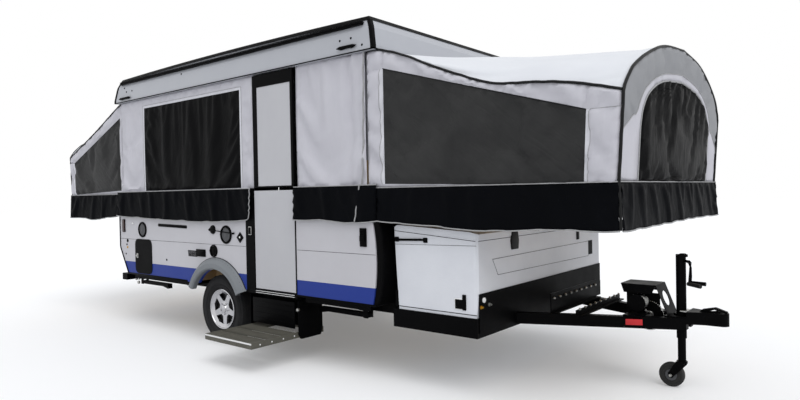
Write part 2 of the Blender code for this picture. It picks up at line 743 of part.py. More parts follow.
def fender(yard, label, side, half):
    """The wheel arch flare: an arc swept along a flaring section."""
    work = bmesh.new()
    low_angle = math.degrees(math.asin((SILL_Z - 0.01 - WHEEL_R) / FENDER_R))
    section = ((FENDER_R, 0.0), (FENDER_R - 0.02, 0.030), (FENDER_R - 0.05, FENDER_OUT),
               (ARCH_R + 0.012, FENDER_OUT), (ARCH_R, FENDER_OUT - 0.012), (ARCH_R, 0.0),
               (ARCH_R + 0.006, 0.0), (ARCH_R + 0.010, FENDER_OUT - FENDER_T - 0.004),
               (FENDER_R - 0.055, FENDER_OUT - FENDER_T), (FENDER_R - 0.03, 0.022),
               (FENDER_R - 0.014, 0.0))
    steps = 28
    rows = []
    for index in range(steps + 1):
        angle = math.radians(low_angle + (180 - 2 * low_angle) * index / steps)
        rows.append([work.verts.new((radius * math.cos(angle), side * (half + GAP + out),
                                     WHEEL_R + radius * math.sin(angle)))
                     for radius, out in section])
    count = len(section)
    for first, second in zip(rows, rows[1:]):
        for index in range(count):
            after = (index + 1) % count
            work.faces.new((first[index], first[after], second[after], second[index]))
    work.faces.new(rows[0])
    work.faces.new(rows[-1])
    item = yard.add("fender_" + label, finish_mesh(work, "fender_" + label), "fender_grey")
    shade(item)


def roof(yard):
    """The moulded roof: a crowned, tapering shell, open below, with its lift rods."""
    work = bmesh.new()
    columns = 13
    rings = []
    length = ROOF_FRONT_X - ROOF_REAR_X
    for height, share in ROOF_LEVELS:
        inset = ROOF_TAPER * share
        ring = [(ROOF_REAR_X + inset * 1.3 + (length - inset * 2.3) * index / (columns - 1),
                 -(ROOF_HALF_W - inset * 0.6)) for index in range(columns)]
        for index in range(1, 9):
            ring.append((ROOF_FRONT_X - inset,
                         -(ROOF_HALF_W - inset * 0.6) * (1 - index / 4.0)))
        ring += [(x_place, -y_place) for x_place, y_place in reversed(ring[:columns - 1])]
        for index in range(1, 8):
            ring.append((ROOF_REAR_X + inset * 1.3,
                         (ROOF_HALF_W - inset * 0.6) * (1 - index / 4.0)))
        verts = []
        for x_place, y_place in ring:
            along = 2.0 * (x_place - ROOF_REAR_X) / length - 1.0
            lift = ROOF_CROWN * 0.5 * (1.0 - along * along) if share > 1.0 else 0.0
            verts.append(work.verts.new((x_place, y_place, height + lift)))
        rings.append(verts)
    count = len(rings[0])
    for first, second in zip(rings, rings[1:]):
        for index in range(count):
            after = (index + 1) % count
            work.faces.new((first[index], first[after], second[after], second[index]))
    # The top is a grid of rows that run across, crowned in the middle.
    top = rings[-1]
    front = top[columns - 1:columns + 8]
    rear = [top[0]] + [top[-index] for index in range(1, 9)]
    right = top[:columns]
    left = [top[columns + 7 + index] for index in range(columns)]
    left.reverse()
    grid = [rear]
    for index in range(1, columns - 1):
        start, end = right[index].co, left[index].co
        row = [right[index]]
        for step in range(1, 8):
            share = step / 8.0
            place = start.lerp(end, share)
            along = 2.0 * index / (columns - 1) - 1.0
            bow = (1.0 - (2 * share - 1.0) ** 2) * (1.0 - 0.45 * along ** 4)
            row.append(work.verts.new((place.x, place.y, place.z + ROOF_CROWN * bow)))
        row.append(left[index])
        grid.append(row)
    grid.append(front)
    for first, second in zip(grid, grid[1:]):
        for index in range(8):
            work.faces.new((first[index], second[index], second[index + 1], first[index + 1]))
    shell = yard.add("roof", finish_mesh(work, "roof"), "roof_shell")
    solid = shell.modifiers.new("wall", "SOLIDIFY")
    solid.thickness = ROOF_T
    solid.offset = -1.0
    solid.use_even_offset = True
    rods = []
    for name, x_place, y_place in post_places():
        reach = POST_ROD / 2
        rods.append(block(yard, "lift_rod_%s_blank" % name, None,
                          (x_place - reach, y_place - reach, POST_TOP - LIFT_OVERLAP),
                          (x_place + reach, y_place + reach, ROOF_EAVES - ROOF_T + 0.012)))
    for index, place in enumerate(STOW_LUG_X):
        for face in (-1, 1):
            low, high = sorted((place + face * (LUG_HALF + GAP), place + face * (LUG_HALF + 0.006)))
            rods.append(block(yard, "stow_ear_%d_%d_blank" % (index, face), None,
                              (low, -ROOF_HALF_W + ROOF_T - 0.01, STOW_PIVOT_Z - LUG_R),
                              (high, -STOW_PIVOT_Y + LUG_R, STOW_PIVOT_Z + LUG_R + 0.004)))
    fuse(shell, *rods)
    low, high = AWNING_Z
    section = [(-roof_side_y(low) - 2 * GAP, low), (-roof_side_y(low) - AWNING_OUT, low),
               (-roof_side_y(high) - AWNING_OUT, high), (-roof_side_y(high) - 2 * GAP, high)]
    plate(yard, "awning_rail", "trim_black", "YZ", [section],
          ROOF_REAR_X + 0.11, ROOF_FRONT_X - 0.11)


def roof_side_y(height):
    """How far out the roof's side stands at a height on its upper slope."""
    (low, low_share), (high, high_share) = ROOF_LEVELS[2:4]
    share = low_share + (high_share - low_share) * (height - low) / (high - low)
    return ROOF_HALF_W - ROOF_TAPER * share * 0.6


def tents(yard):
    """The fabric walls under the roof and the skirts that hang over the box's top edge."""
    walls = (("right_rear", -1, -1.70, DOOR_REAR_X - 0.012),
             ("right_front", -1, DOOR_FRONT_X + 0.018, 1.79),
             ("left", 1, -1.70, 1.79))
    for label, side, low, high in walls:
        near, far = sorted((side * (TENT_Y - TENT_T), side * TENT_Y))
        block(yard, "tent_" + label, "canvas_grey", (low, near, SIDE_TOP + GAP),
              (high, far, ROOF_BOTTOM - GAP))
    skirts = (("right_rear", -1, -1.735, DOOR_REAR_X - 0.03),
              ("right_front", -1, DOOR_FRONT_X + 0.022, 1.79),
              ("left", 1, -1.735, 1.79))
    for label, side, low, high in skirts:
        near, far = sorted((side * (BODY_W / 2 + GAP), side * (BODY_W / 2 + GAP + SKIRT_T)))
        if label == "right_rear":
            near, far = near - JAMB_PROUD, far - JAMB_PROUD
        block(yard, "skirt_" + label, "canvas_black", (low, near, SKIRT_BOTTOM),
              (high, far, SKIRT_TOP), bevel=0.003)


def canopy_sections(roof_x, end_x, lean):
    """Sections of a bed tent: x, height of the side piping, height of the ridge."""
    span = end_x - roof_x
    table = ((0.0, ROOF_BOTTOM - GAP - 0.001, ROOF_BOTTOM - GAP),
             (0.065, 2.288, ROOF_BOTTOM - GAP), (0.22, 2.200, 2.302),
             (0.40, 2.090, 2.292), (0.56, 1.985, 2.275), (0.74, 1.915, 2.248),
             (0.90, 1.865, 2.218), (1.0, 1.830, 2.200))
    return [(roof_x + span * share, lean * share ** 3, piping, ridge)
            for share, piping, ridge in table]


def bed_tent(yard, label, roof_x, end_x, pivot):
    """One bed's tent: a lofted fabric shell, open to the cabin and open below."""
    lean = 0.06 if end_x > roof_x else -0.06
    half = BED_TENT_Y
    arc_steps = 14
    work = bmesh.new()
    rows = []
    for x_place, out, piping, ridge in canopy_sections(roof_x, end_x, lean):
        points = [(-half, BED_TENT_BASE), (-half, (BED_TENT_BASE + piping) / 2)]
        for index in range(arc_steps + 1):
            angle = math.pi * (1.0 - index / arc_steps)
            across = math.copysign(abs(math.cos(angle)) ** 0.62, math.cos(angle))
            up = math.sin(angle) ** 0.80
            points.append((half * across, piping + (ridge - piping) * up))
        points += [(half, (BED_TENT_BASE + piping) / 2), (half, BED_TENT_BASE)]
        rows.append([work.verts.new((x_place + out * (z_place - BED_TENT_BASE) /
                                     (ridge - BED_TENT_BASE), y_place, z_place))
                     for y_place, z_place in points])
    for first, second in zip(rows, rows[1:]):
        for index in range(len(first) - 1):
            work.faces.new((first[index], first[index + 1],
                            second[index + 1], second[index]))
    # The end panel closes the last section; its rows run across from side to side.
    last = rows[-1]
    while len(last) > 3:
        work.faces.new((last[0], last[1], last[-2], last[-1]))
        last = last[1:-1]
    if len(last) == 3:
        work.faces.new(last)
    mesh = finish_mesh(work, "bed_tent_" + label)
    item = yard.add("bed_tent_" + label, mesh, "canvas_grey", pivot=pivot)
    solid = item.modifiers.new("cloth", "SOLIDIFY")
    solid.thickness = TENT_T
    solid.offset = -1.0
    return item


def bed(yard, label, wall_x, roof_x, end_x):
    """A sliding bed: its board, its skirt and its tent."""
    side = 1 if end_x > wall_x else -1
    pivot = yard.pivot("slide_%s_bed" % label, (wall_x, 0, END_TOP))
    low, high = sorted((wall_x - side * BED_TAIL, end_x))
    block(yard, "bed_%s" % label, "board", (low, -BED_HALF_W, END_TOP),
          (high, BED_HALF_W, END_TOP + BED_T), bevel=0.004, pivot=pivot)
    bed_tent(yard, label, roof_x, end_x, pivot)
    outer = BED_TENT_Y + GAP
    inner = outer - SKIRT_T
    start = wall_x + side * 0.075
    stop = end_x + side * (SKIRT_T + GAP)
    ring = [(start, -outer), (stop, -outer), (stop, outer), (start, outer),
            (start, inner), (stop - side * SKIRT_T, inner),
            (stop - side * SKIRT_T, -inner), (start, -inner)]
    plate(yard, "bed_skirt_" + label, "canvas_black", "XY", [ring],
          BED_SKIRT_BOTTOM, BED_SKIRT_TOP, pivot=pivot)


def doors(yard):
    """The lower door on its side hinge, and the upper door that stows under the roof."""
    half = BODY_W / 2
    hinge = yard.pivot("hinge_lower_door", (DOOR_FRONT_X, -half - 0.008, DOOR_Z))
    block(yard, "door_lower", "siding", (DOOR_REAR_X, -half, DOOR_Z),
          (DOOR_FRONT_X, -half + DOOR_T, DOOR_SPLIT), bevel=0.003, pivot=hinge)
    stow = yard.pivot("hinge_upper_door", (0.8, -STOW_PIVOT_Y, STOW_PIVOT_Z))
    inside = -half + UPPER_DOOR_T
    outer = [(DOOR_REAR_X, UPPER_DOOR_BOTTOM), (DOOR_FRONT_X, UPPER_DOOR_BOTTOM),
             (DOOR_FRONT_X, UPPER_DOOR_TOP), (DOOR_REAR_X, UPPER_DOOR_TOP)]
    opening = [(DOOR_REAR_X + STILE_W, UPPER_DOOR_BOTTOM + PANEL_LIP),
               (DOOR_FRONT_X - STILE_W / 2, UPPER_DOOR_BOTTOM + PANEL_LIP),
               (DOOR_FRONT_X - STILE_W / 2, UPPER_DOOR_TOP - HEADER_H),
               (DOOR_REAR_X + STILE_W, UPPER_DOOR_TOP - HEADER_H)]
    frame = plate(yard, "door_upper_frame", "trim_black", "XZ", [outer, opening],
                  -half, inside, pivot=stow)
    lugs = []
    for index, place in enumerate(STOW_LUG_X):
        lug = [(inside - 0.002, UPPER_DOOR_TOP - 0.030), (-STOW_PIVOT_Y + LUG_R, UPPER_DOOR_TOP - 0.008)]
        lug += arc((-STOW_PIVOT_Y, STOW_PIVOT_Z), LUG_R, 0, 180, 9)
        lug += [(-STOW_PIVOT_Y - LUG_R, UPPER_DOOR_TOP - 0.001), (inside - 0.002, UPPER_DOOR_TOP - 0.001)]
        lugs.append(plate(yard, "stow_lug_%d_blank" % index, None, "YZ", [lug],
                          place - LUG_HALF, place + LUG_HALF, pivot=stow))
    fuse(frame, *lugs)
    block(yard, "door_upper_panel", "siding",
          (DOOR_REAR_X + STILE_W + GAP, -half + 0.003, UPPER_DOOR_BOTTOM + PANEL_LIP + GAP),
          (DOOR_FRONT_X - STILE_W / 2 - GAP, inside, UPPER_DOOR_TOP - HEADER_H - GAP), pivot=stow)


def hatch(yard):
    """The small black access door low on the side, with a flange round its plug."""
    half = BODY_W / 2
    pivot = yard.pivot("hinge_hatch", (HATCH_X[1] + HATCH_LIP, -half - 0.002, HATCH_Z[0]))
    flange_shape = rounded_rectangle((HATCH_X[0] - HATCH_LIP, HATCH_X[1] + HATCH_LIP),
                                     (HATCH_Z[0] - HATCH_LIP, HATCH_Z[1] + HATCH_LIP), 0.055)
    item = plate(yard, "hatch", "trim_black", "XZ", [flange_shape], -half - GAP - 0.004,
                 -half - GAP, pivot=pivot)
    plug_shape = rounded_rectangle(HATCH_X, HATCH_Z, 0.045)
    plug = plate(yard, "hatch_plug_blank", None, "XZ", [plug_shape], -half - GAP - 0.002,
                 -half + HATCH_T, pivot=pivot)
    fuse(item, plug)


def storage_box(yard):
    """The moulded box on the tongue, hollow, with a lid hinged at its rear edge."""
    outline = [(BOX_REAR_X + 0.035, BOX_BOTTOM), (BOX_FRONT_X - 0.012, BOX_BOTTOM),
               (BOX_FRONT_X, KICK_TOP), (BOX_FRONT_X, BOX_SEAM_FRONT), (BOX_REAR_X, BOX_SEAM_REAR)]
    inside = [(BOX_REAR_X + 0.035 + BOX_T, BOX_BOTTOM + BOX_T),
              (BOX_FRONT_X - 0.012 - BOX_T, BOX_BOTTOM + BOX_T),
              (BOX_FRONT_X - BOX_T, KICK_TOP), (BOX_FRONT_X - BOX_T, BOX_SEAM_REAR + 0.1),
              (BOX_REAR_X + BOX_T, BOX_SEAM_REAR + 0.1)]
    corners = rounded_rectangle((BOX_REAR_X - 0.02, BOX_FRONT_X + 0.006),
                                (-BOX_HALF_W, BOX_HALF_W), BOX_CORNER_R)
    box = plate(yard, "storage_box", "box_white", "XZ", [outline], -BOX_HALF_W - 0.01,
                BOX_HALF_W + 0.01)
    boolean(box, plate(yard, "box_corners_blank", None, "XY", [corners], BOX_BOTTOM - 0.1,
                       BOX_SEAM_REAR + 0.1), "INTERSECT")
    cut(box, plate(yard, "storage_cutter", None, "XZ", [inside],
                   -BOX_HALF_W + BOX_T, BOX_HALF_W - BOX_T))
    pivot = yard.pivot("hinge_lid", (BOX_REAR_X - 0.004, 0, BOX_SEAM_REAR + 0.006))
    lid = [(BOX_REAR_X, BOX_SEAM_REAR + GAP), (BOX_FRONT_X + 0.004, BOX_SEAM_FRONT + GAP),
           (BOX_FRONT_X + 0.002, BOX_SEAM_FRONT + LID_RISE - 0.008),
           (BOX_FRONT_X - 0.05, BOX_SEAM_FRONT + LID_RISE + 0.006),
           (BOX_REAR_X + 0.03, BOX_SEAM_REAR + LID_RISE - 0.004),
           (BOX_REAR_X, BOX_SEAM_REAR + 0.022)]
    hollow = [(BOX_REAR_X + BOX_T, BOX_SEAM_REAR - 0.1), (BOX_FRONT_X - BOX_T, BOX_SEAM_FRONT - 0.1),
              (BOX_FRONT_X - BOX_T - 0.01, BOX_SEAM_FRONT + LID_RISE - BOX_T),
              (BOX_REAR_X + BOX_T, BOX_SEAM_REAR + LID_RISE - BOX_T - 0.008)]
    cover = plate(yard, "storage_lid", "box_white", "XZ", [lid], -BOX_HALF_W - 0.01,
                  BOX_HALF_W + 0.01, pivot=pivot)
    boolean(cover, plate(yard, "lid_corners_blank", None, "XY", [corners], BOX_BOTTOM - 0.1,
                         BOX_SEAM_REAR + 0.1, pivot=pivot), "INTERSECT")
    cut(cover, plate(yard, "lid_cutter", None, "XZ", [hollow], -BOX_HALF_W + BOX_T,
                     BOX_HALF_W - BOX_T, pivot=pivot))
    kick = block(yard, "kick_panel", "trim_black",
                 (BOX_FRONT_X + GAP, -BOX_HALF_W + 0.01, TRAY_BOTTOM + 0.03),
                 (BOX_FRONT_X + GAP + KICK_T, BOX_HALF_W - 0.01, KICK_TOP), bevel=0.002)
    opening = block(yard, "kick_tongue_cutter", None, (BOX_FRONT_X - 0.05, -0.56, 0.30),
                    (BOX_FRONT_X + 0.05, 0.56, TONGUE_TOP + 0.004))
    cut(kick, opening)


def jack(yard):
    """The tongue jack: outer tube and crank, and the leg with its swivelling caster."""
    tube_item = rod(yard, "jack_tube", "steel_black", JACK_R, (JACK_X, 0, JACK_TUBE_BOTTOM),
                    (JACK_X, 0, JACK_TOP), sides=28)
    bore = rod(yard, "jack_bore_cutter", None, JACK_LEG_R + 0.001,
               (JACK_X, 0, JACK_TUBE_BOTTOM - 0.1), (JACK_X, 0, JACK_TUBE_BOTTOM + 0.12), sides=28)
    collar = rod(yard, "jack_collar_blank", None, JACK_R + 0.016, (JACK_X, 0, TONGUE_TOP + 0.008 + GAP),
                 (JACK_X, 0, TONGUE_TOP + 0.020), sides=28)
    crank = tube(yard, "crank_blank", None, 0.0065,
                 [(JACK_X + JACK_R - 0.01, 0, CRANK_Z), (JACK_X + 0.052, 0, CRANK_Z),
                  (JACK_X + 0.060, 0, CRANK_Z - 0.010), (JACK_X + 0.048, 0, CRANK_Z - 0.135),
                  (JACK_X + 0.075, 0, CRANK_Z - 0.140)])
    grip = rod(yard, "grip_blank", None, 0.013, (JACK_X + 0.062, 0, CRANK_Z - 0.140),
               (JACK_X + 0.150, 0, CRANK_Z - 0.143), sides=16)
    cut(tube_item, bore)
    fuse(tube_item, collar, crank, grip)
    rod(yard, "jack_leg", "steel_black", JACK_LEG_R, (JACK_X, 0, JACK_LEG_BOTTOM),
        (JACK_X, 0, JACK_TUBE_BOTTOM + 0.12 - GAP), sides=28)
    swivel = yard.pivot("caster_swivel", (JACK_X, 0, JACK_LEG_BOTTOM))
    wheel_x = JACK_X - CASTER_TRAIL
    fork = rod(yard, "caster_fork", "steel_black", 0.034, (JACK_X, 0, JACK_LEG_BOTTOM - 0.014),
               (JACK_X, 0, JACK_LEG_BOTTOM - GAP), pivot=swivel)
    cheeks = []
    for side in (-1, 1):
        near, far = sorted((side * (CASTER_W / 2 + 0.004), side * (CASTER_W / 2 + 0.008)))
        cheek = [(JACK_X + 0.022, JACK_LEG_BOTTOM - 0.002), (JACK_X - 0.030, JACK_LEG_BOTTOM - 0.002),
                 (wheel_x - 0.018, CASTER_R + 0.010), (wheel_x, CASTER_R - 0.018),
                 (wheel_x + 0.018, CASTER_R - 0.006), (JACK_X + 0.022, JACK_LEG_BOTTOM - 0.030)]
        cheeks.append(plate(yard, "cheek_%d_blank" % side, None, "XZ", [cheek], near, far,
                            pivot=swivel))
    cheeks.append(rod(yard, "caster_pin_blank", None, 0.008,
                      (wheel_x, -CASTER_W / 2 - 0.010, CASTER_R),
                      (wheel_x, CASTER_W / 2 + 0.010, CASTER_R), sides=16, pivot=swivel))
    cheeks.append(block(yard, "fork_bridge_blank", None,
                        (JACK_X - 0.028, -CASTER_W / 2 - 0.006, JACK_LEG_BOTTOM - 0.006),
                        (JACK_X + 0.020, CASTER_W / 2 + 0.006, JACK_LEG_BOTTOM - 0.002),
                        pivot=swivel))
    fuse(fork, *cheeks)
    spin = yard.pivot("caster_spin", (wheel_x, 0, CASTER_R))
    profile = [(0.0085, 0.025), (0.022, 0.025), (0.026, 0.018), (0.060, 0.018), (0.064, 0.023),
               (0.074, 0.022), (CASTER_R, 0.012), (CASTER_R, -0.012), (0.074, -0.022),
               (0.064, -0.023), (0.060, -0.018), (0.026, -0.018), (0.022, -0.025), (0.0085, -0.025)]
    turned(yard, "caster_wheel", "rubber", profile, 32, (wheel_x, 0, CASTER_R),
           (math.pi / 2, 0, 0), pivot=spin)


def stabilisers(yard):
    """Four fold-down corner legs, stored up under the floor."""
    for name, x_place, at_y, way in stabiliser_places():
        pivot = yard.pivot("hinge_" + name, (x_place, at_y, LEG_Z))
        outline = [(x_place - way * 0.022, LEG_Z + 0.018), (x_place - way * 0.022, LEG_Z - 0.014),
                   (x_place + way * (LEG_L - 0.10), LEG_Z - 0.012),
                   (x_place + way * LEG_L, LEG_Z - 0.030),
                   (x_place + way * LEG_L, LEG_Z + 0.018)]
        leg = plate(yard, name, "steel_black", "XZ", [outline], at_y - LEG_W / 2,
                    at_y + LEG_W / 2, pivot=pivot)
        start, stop = sorted((x_place + way * 0.03, x_place + way * (LEG_L - 0.04)))
        cut(leg, block(yard, name + "_cutter", None,
                       (start, at_y - LEG_W / 2 + 0.005, LEG_Z - 0.1),
                       (stop, at_y + LEG_W / 2 - 0.005, LEG_Z + 0.012), pivot=pivot))


def step(yard):
    """The pull-out entry step between two hangers."""
    hanger_y = -(STEP_IN_Y + 0.02)
    hangers = []
    first = None
    for index, x_place in enumerate((STEP_REAR_X - RUN - HANGER_T, STEP_FRONT_X + RUN)):
        outline = [(-HANGER_IN_Y, RAIL_BOTTOM + 0.088), (-HANGER_IN_Y, 0.49), (-HANGER_OUT_Y, 0.48),
                   (-HANGER_OUT_Y, STEP_TOP - 0.02),
                   (-HANGER_IN_Y, STEP_TOP - STEP_SIDE_H - 0.012),
                   (hanger_y - 0.02, STEP_TOP - STEP_SIDE_H - 0.012),
                   (hanger_y, STEP_TOP), (hanger_y, RAIL_BOTTOM + 0.088)]
        item = plate(yard, "step_hanger" if index == 0 else "hanger_front_blank",
                     "steel_black" if index == 0 else None, "YZ", [outline],
                     x_place, x_place + HANGER_T)
        if first is None:
            first = item
        else:
            hangers.append(item)
    tie = block(yard, "hanger_tie_blank", None,
                (STEP_REAR_X - RUN - HANGER_T + 0.001, -HANGER_TIE_Y - HANGER_T, STEP_TOP + 0.03),
                (STEP_FRONT_X + RUN + HANGER_T - 0.001, -HANGER_TIE_Y, RAIL_TOP - 0.01))
    rail = block(yard, "hanger_top_blank", None,
                 (STEP_REAR_X - RUN - HANGER_T + 0.001, -HANGER_TIE_Y - HANGER_T, RAIL_BOTTOM + 0.060),
                 (STEP_FRONT_X + RUN + HANGER_T - 0.001, -RAIL_Y - RAIL_W / 2 - GAP, RAIL_TOP - 0.01))
    runners = []
    for index, (low, high) in enumerate(((STEP_REAR_X - RUN - 0.001, STEP_REAR_X + 0.02),
                                         (STEP_FRONT_X - 0.02, STEP_FRONT_X + RUN + 0.001))):
        runners.append(block(yard, "step_runner_blank_%d" % index, None,
                             (low, -HANGER_IN_Y + 0.005, STEP_TOP - STEP_SIDE_H - 0.012),
                             (high, hanger_y - 0.02, STEP_TOP - STEP_SIDE_H - GAP)))
    fuse(first, *hangers, tie, rail, *runners)
    pivot = yard.pivot("slide_step", (0.76, -STEP_IN_Y, STEP_TOP))
    low_z = STEP_TOP - STEP_SIDE_H
    outer = [(STEP_REAR_X, -STEP_OUT_Y), (STEP_FRONT_X, -STEP_OUT_Y),
             (STEP_FRONT_X, -STEP_IN_Y), (STEP_REAR_X, -STEP_IN_Y)]
    inner = [(STEP_REAR_X + 0.012, -STEP_OUT_Y + 0.025), (STEP_FRONT_X - 0.012, -STEP_OUT_Y + 0.025),
             (STEP_FRONT_X - 0.012, -STEP_IN_Y - 0.012), (STEP_REAR_X + 0.012, -STEP_IN_Y - 0.012)]
    tray = plate(yard, "step_tray", "tread_grey", "XY", [outer, inner], low_z, STEP_TOP, pivot=pivot)
    slats = []
    for index in range(STEP_SLATS):
        start = STEP_OUT_Y - 0.035 - index * SLAT_PITCH
        slats.append(block(yard, "slat_blank_%d" % index, None,
                           (STEP_REAR_X + 0.002, -start, STEP_TOP - 0.014),
                           (STEP_FRONT_X - 0.002, -start + SLAT_W, STEP_TOP - 0.002), pivot=pivot))
    fuse(tray, *slats)


def winch(yard):
    """The lift winch on the tongue: base, drum, large gear and its bent guard."""
    base = block(yard, "winch", "steel_black",
                 (WINCH_X - 0.10, -0.015, TONGUE_BOTTOM + 0.01),
                 (WINCH_X + 0.12, -0.009, WINCH_Z + 0.06))
    reach = TONGUE_HALF_REAR - (WINCH_X - BOX_FRONT_X + TRAY_BEAM) * (
        (TONGUE_HALF_REAR - TONGUE_HALF_FRONT) / (TONGUE_END_X - BOX_FRONT_X + TRAY_BEAM))
    foot = block(yard, "winch_foot_blank", None,
                 (WINCH_X - 0.06, -reach, TONGUE_TOP + GAP), (WINCH_X + 0.06, reach, TONGUE_TOP + 0.008))
    drum = rod(yard, "winch_drum_blank", None, WINCH_DRUM_R, (WINCH_X, -0.115, WINCH_Z),
               (WINCH_X, 0.10, WINCH_Z), sides=28)
    flange_right = rod(yard, "winch_flange_right_blank", None, WINCH_DRUM_R + 0.012,
                       (WINCH_X, -0.120, WINCH_Z), (WINCH_X, -0.112, WINCH_Z), sides=28)
    flange_left = rod(yard, "winch_flange_left_blank", None, WINCH_DRUM_R + 0.012,
                      (WINCH_X, 0.095, WINCH_Z), (WINCH_X, 0.103, WINCH_Z), sides=28)
    gear = rod(yard, "winch_gear_blank", None, WINCH_GEAR_R, (WINCH_X + 0.05, -0.030, 0.46),
               (WINCH_X + 0.05, -0.020, 0.46), sides=40)
    stub = rod(yard, "gear_stub_blank", None, 0.015, (WINCH_X + 0.05, -0.030, 0.50),
               (WINCH_X + 0.05, -0.010, 0.50), sides=16)
    fuse(base, foot, drum, flange_right, flange_left, gear, stub)
    top = 0.675
    side_height = 0.06
    guard = plate(yard, "winch_guard", "steel_black", "XZ",
                  [[(3.23, top), (3.46, top), (3.535, TONGUE_TOP + 0.008 + GAP),
                    (3.530, TONGUE_TOP + 0.008 + GAP), (3.457, top - 0.005), (3.23, top - 0.005)]],
                  -0.10, 0.10)
    window = rod(yard, "guard_window_cutter", None, 0.05, (3.60, 0, 0.60), (3.42, 0, 0.57), sides=20)
    cheek = [(3.23, top - 0.001), (3.46, top - 0.001), (3.43, top - side_height),
             (3.25, top - side_height)]
    near = plate(yard, "guard_cheek_right_blank", None, "XZ", [cheek], -0.10, -0.095)
    far = plate(yard, "guard_cheek_left_blank", None, "XZ", [cheek], 0.095, 0.10)
    cut(guard, window)
    fuse(guard, near, far)


def main():
    yard = Yard()
    chassis(yard)
    coupler(yard)
    axle(yard)
    for label, side in (("right", -1), ("left", 1)):
        wheel(yard, label, side)
    body_box(yard)
    roof(yard)
    tents(yard)
    bed(yard, "front", FRONT_X + BED_INSET_FRONT, FRONT_X - BED_INSET_FRONT, FRONT_BED_X)
    bed(yard, "rear", REAR_X, REAR_X + BED_INSET_REAR, REAR_BED_X)
    doors(yard)
    hatch(yard)
    storage_box(yard)
    jack(yard)
    stabilisers(yard)
    step(yard)
    winch(yard)


main()
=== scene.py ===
"""Looks of a folding camper trailer, set up with its roof raised and its two beds out.

Lengths are metres. Pieces are drawn in stance coordinates, X forward, Y to the left, Z up,
from the ground under the axle, and Bench.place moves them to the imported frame, whose origin
is the seat of the hitch socket.
"""
from __future__ import annotations

import json
import logging
import math
from dataclasses import dataclass, field
from enum import Enum
from typing import Callable, Iterable, Sequence

import bmesh
import bpy
from mathutils import Matrix, Vector, noise

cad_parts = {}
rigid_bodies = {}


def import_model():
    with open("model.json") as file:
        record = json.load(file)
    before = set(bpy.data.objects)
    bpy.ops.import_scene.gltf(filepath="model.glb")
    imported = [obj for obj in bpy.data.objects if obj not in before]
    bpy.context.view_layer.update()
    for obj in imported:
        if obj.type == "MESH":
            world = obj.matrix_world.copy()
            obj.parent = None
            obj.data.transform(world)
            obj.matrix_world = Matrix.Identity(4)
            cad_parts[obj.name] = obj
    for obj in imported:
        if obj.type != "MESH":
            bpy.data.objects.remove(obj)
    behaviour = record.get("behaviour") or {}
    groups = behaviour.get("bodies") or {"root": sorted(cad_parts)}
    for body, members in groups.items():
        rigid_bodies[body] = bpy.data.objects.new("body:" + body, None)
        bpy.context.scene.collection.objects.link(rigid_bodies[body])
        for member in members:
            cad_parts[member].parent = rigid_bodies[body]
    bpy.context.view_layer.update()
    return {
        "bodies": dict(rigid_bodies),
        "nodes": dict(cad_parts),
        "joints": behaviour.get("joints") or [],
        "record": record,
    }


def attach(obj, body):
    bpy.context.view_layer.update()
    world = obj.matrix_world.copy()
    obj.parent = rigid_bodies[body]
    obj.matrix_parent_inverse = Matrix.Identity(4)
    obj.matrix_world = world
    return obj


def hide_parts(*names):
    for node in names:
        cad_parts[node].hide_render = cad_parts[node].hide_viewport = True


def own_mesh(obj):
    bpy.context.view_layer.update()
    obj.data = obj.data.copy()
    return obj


LOG = logging.getLogger("folding_camper")
STANCE = Vector((-3.80, 0.0, -0.50))
Point = Sequence[float]
Tree = bpy.types.NodeTree
Socket = bpy.types.NodeSocket
# A thousand over the spacing in millimetres and over this is the scale of a Wave texture whose bands
# lie about that far apart.
WAVE_PERIOD = 3.1416
# Depth of a full crease against a thread's.
CREASE_DEPTH = 12.0
# The wheels' centre above the ground.
AXLE_Z = 0.305


class Body(Enum):
    """The bodies that the pieces of this script ride on."""

    TRAILER = "trailer"
    ROOF = "roof_body"
    FRONT_BED = "front_bed"
    REAR_BED = "rear_bed"
    HATCH = "hatch_door"
    WHEEL_RIGHT = "wheel_right"
    WHEEL_LEFT = "wheel_left"
    CASTER = "caster"
    CASTER_WHEEL = "caster_roller"
    STEP = "step"


class Side(Enum):
    """The trailer's two sides: the door is on the right, at negative Y."""

    RIGHT = -1
    LEFT = 1

    @property
    def tag(self) -> str:
        """The side's word in the names of pieces."""
        return self.name.lower()


def linear(code: str) -> tuple[float, float, float, float]:
    """Turns an sRGB hex colour into linear values.

    Args:
        code: six hex digits, with or without a leading hash.

    Returns:
        Red, green, blue and an alpha of one.
    """
    code = code.lstrip("#")
    values = []
    for start in (0, 2, 4):
        level = int(code[start:start + 2], 16) / 255.0
        values.append(level / 12.92 if level <= 0.04045 else ((level + 0.055) / 1.055) ** 2.4)
    return (values[0], values[1], values[2], 1.0)


def add_node(tree: Tree, kind: str, values: dict | None = None, links: dict | None = None,
             **settings: object) -> bpy.types.Node:
    """Adds one shader node.

    Args:
        tree: the material's node tree.
        kind: the node's type, such as ShaderNodeTexNoise.
        values: socket name or index to its fixed value.
        links: socket name or index to the output socket that feeds it.
        settings: properties of the node itself.

    Returns:
        The new node.
    """
    item = tree.nodes.new(kind)
    for name, value in settings.items():
        setattr(item, name, value)
    for socket, value in (values or {}).items():
        item.inputs[socket].default_value = value
    for socket, source in (links or {}).items():
        tree.links.new(source, item.inputs[socket])
    return item


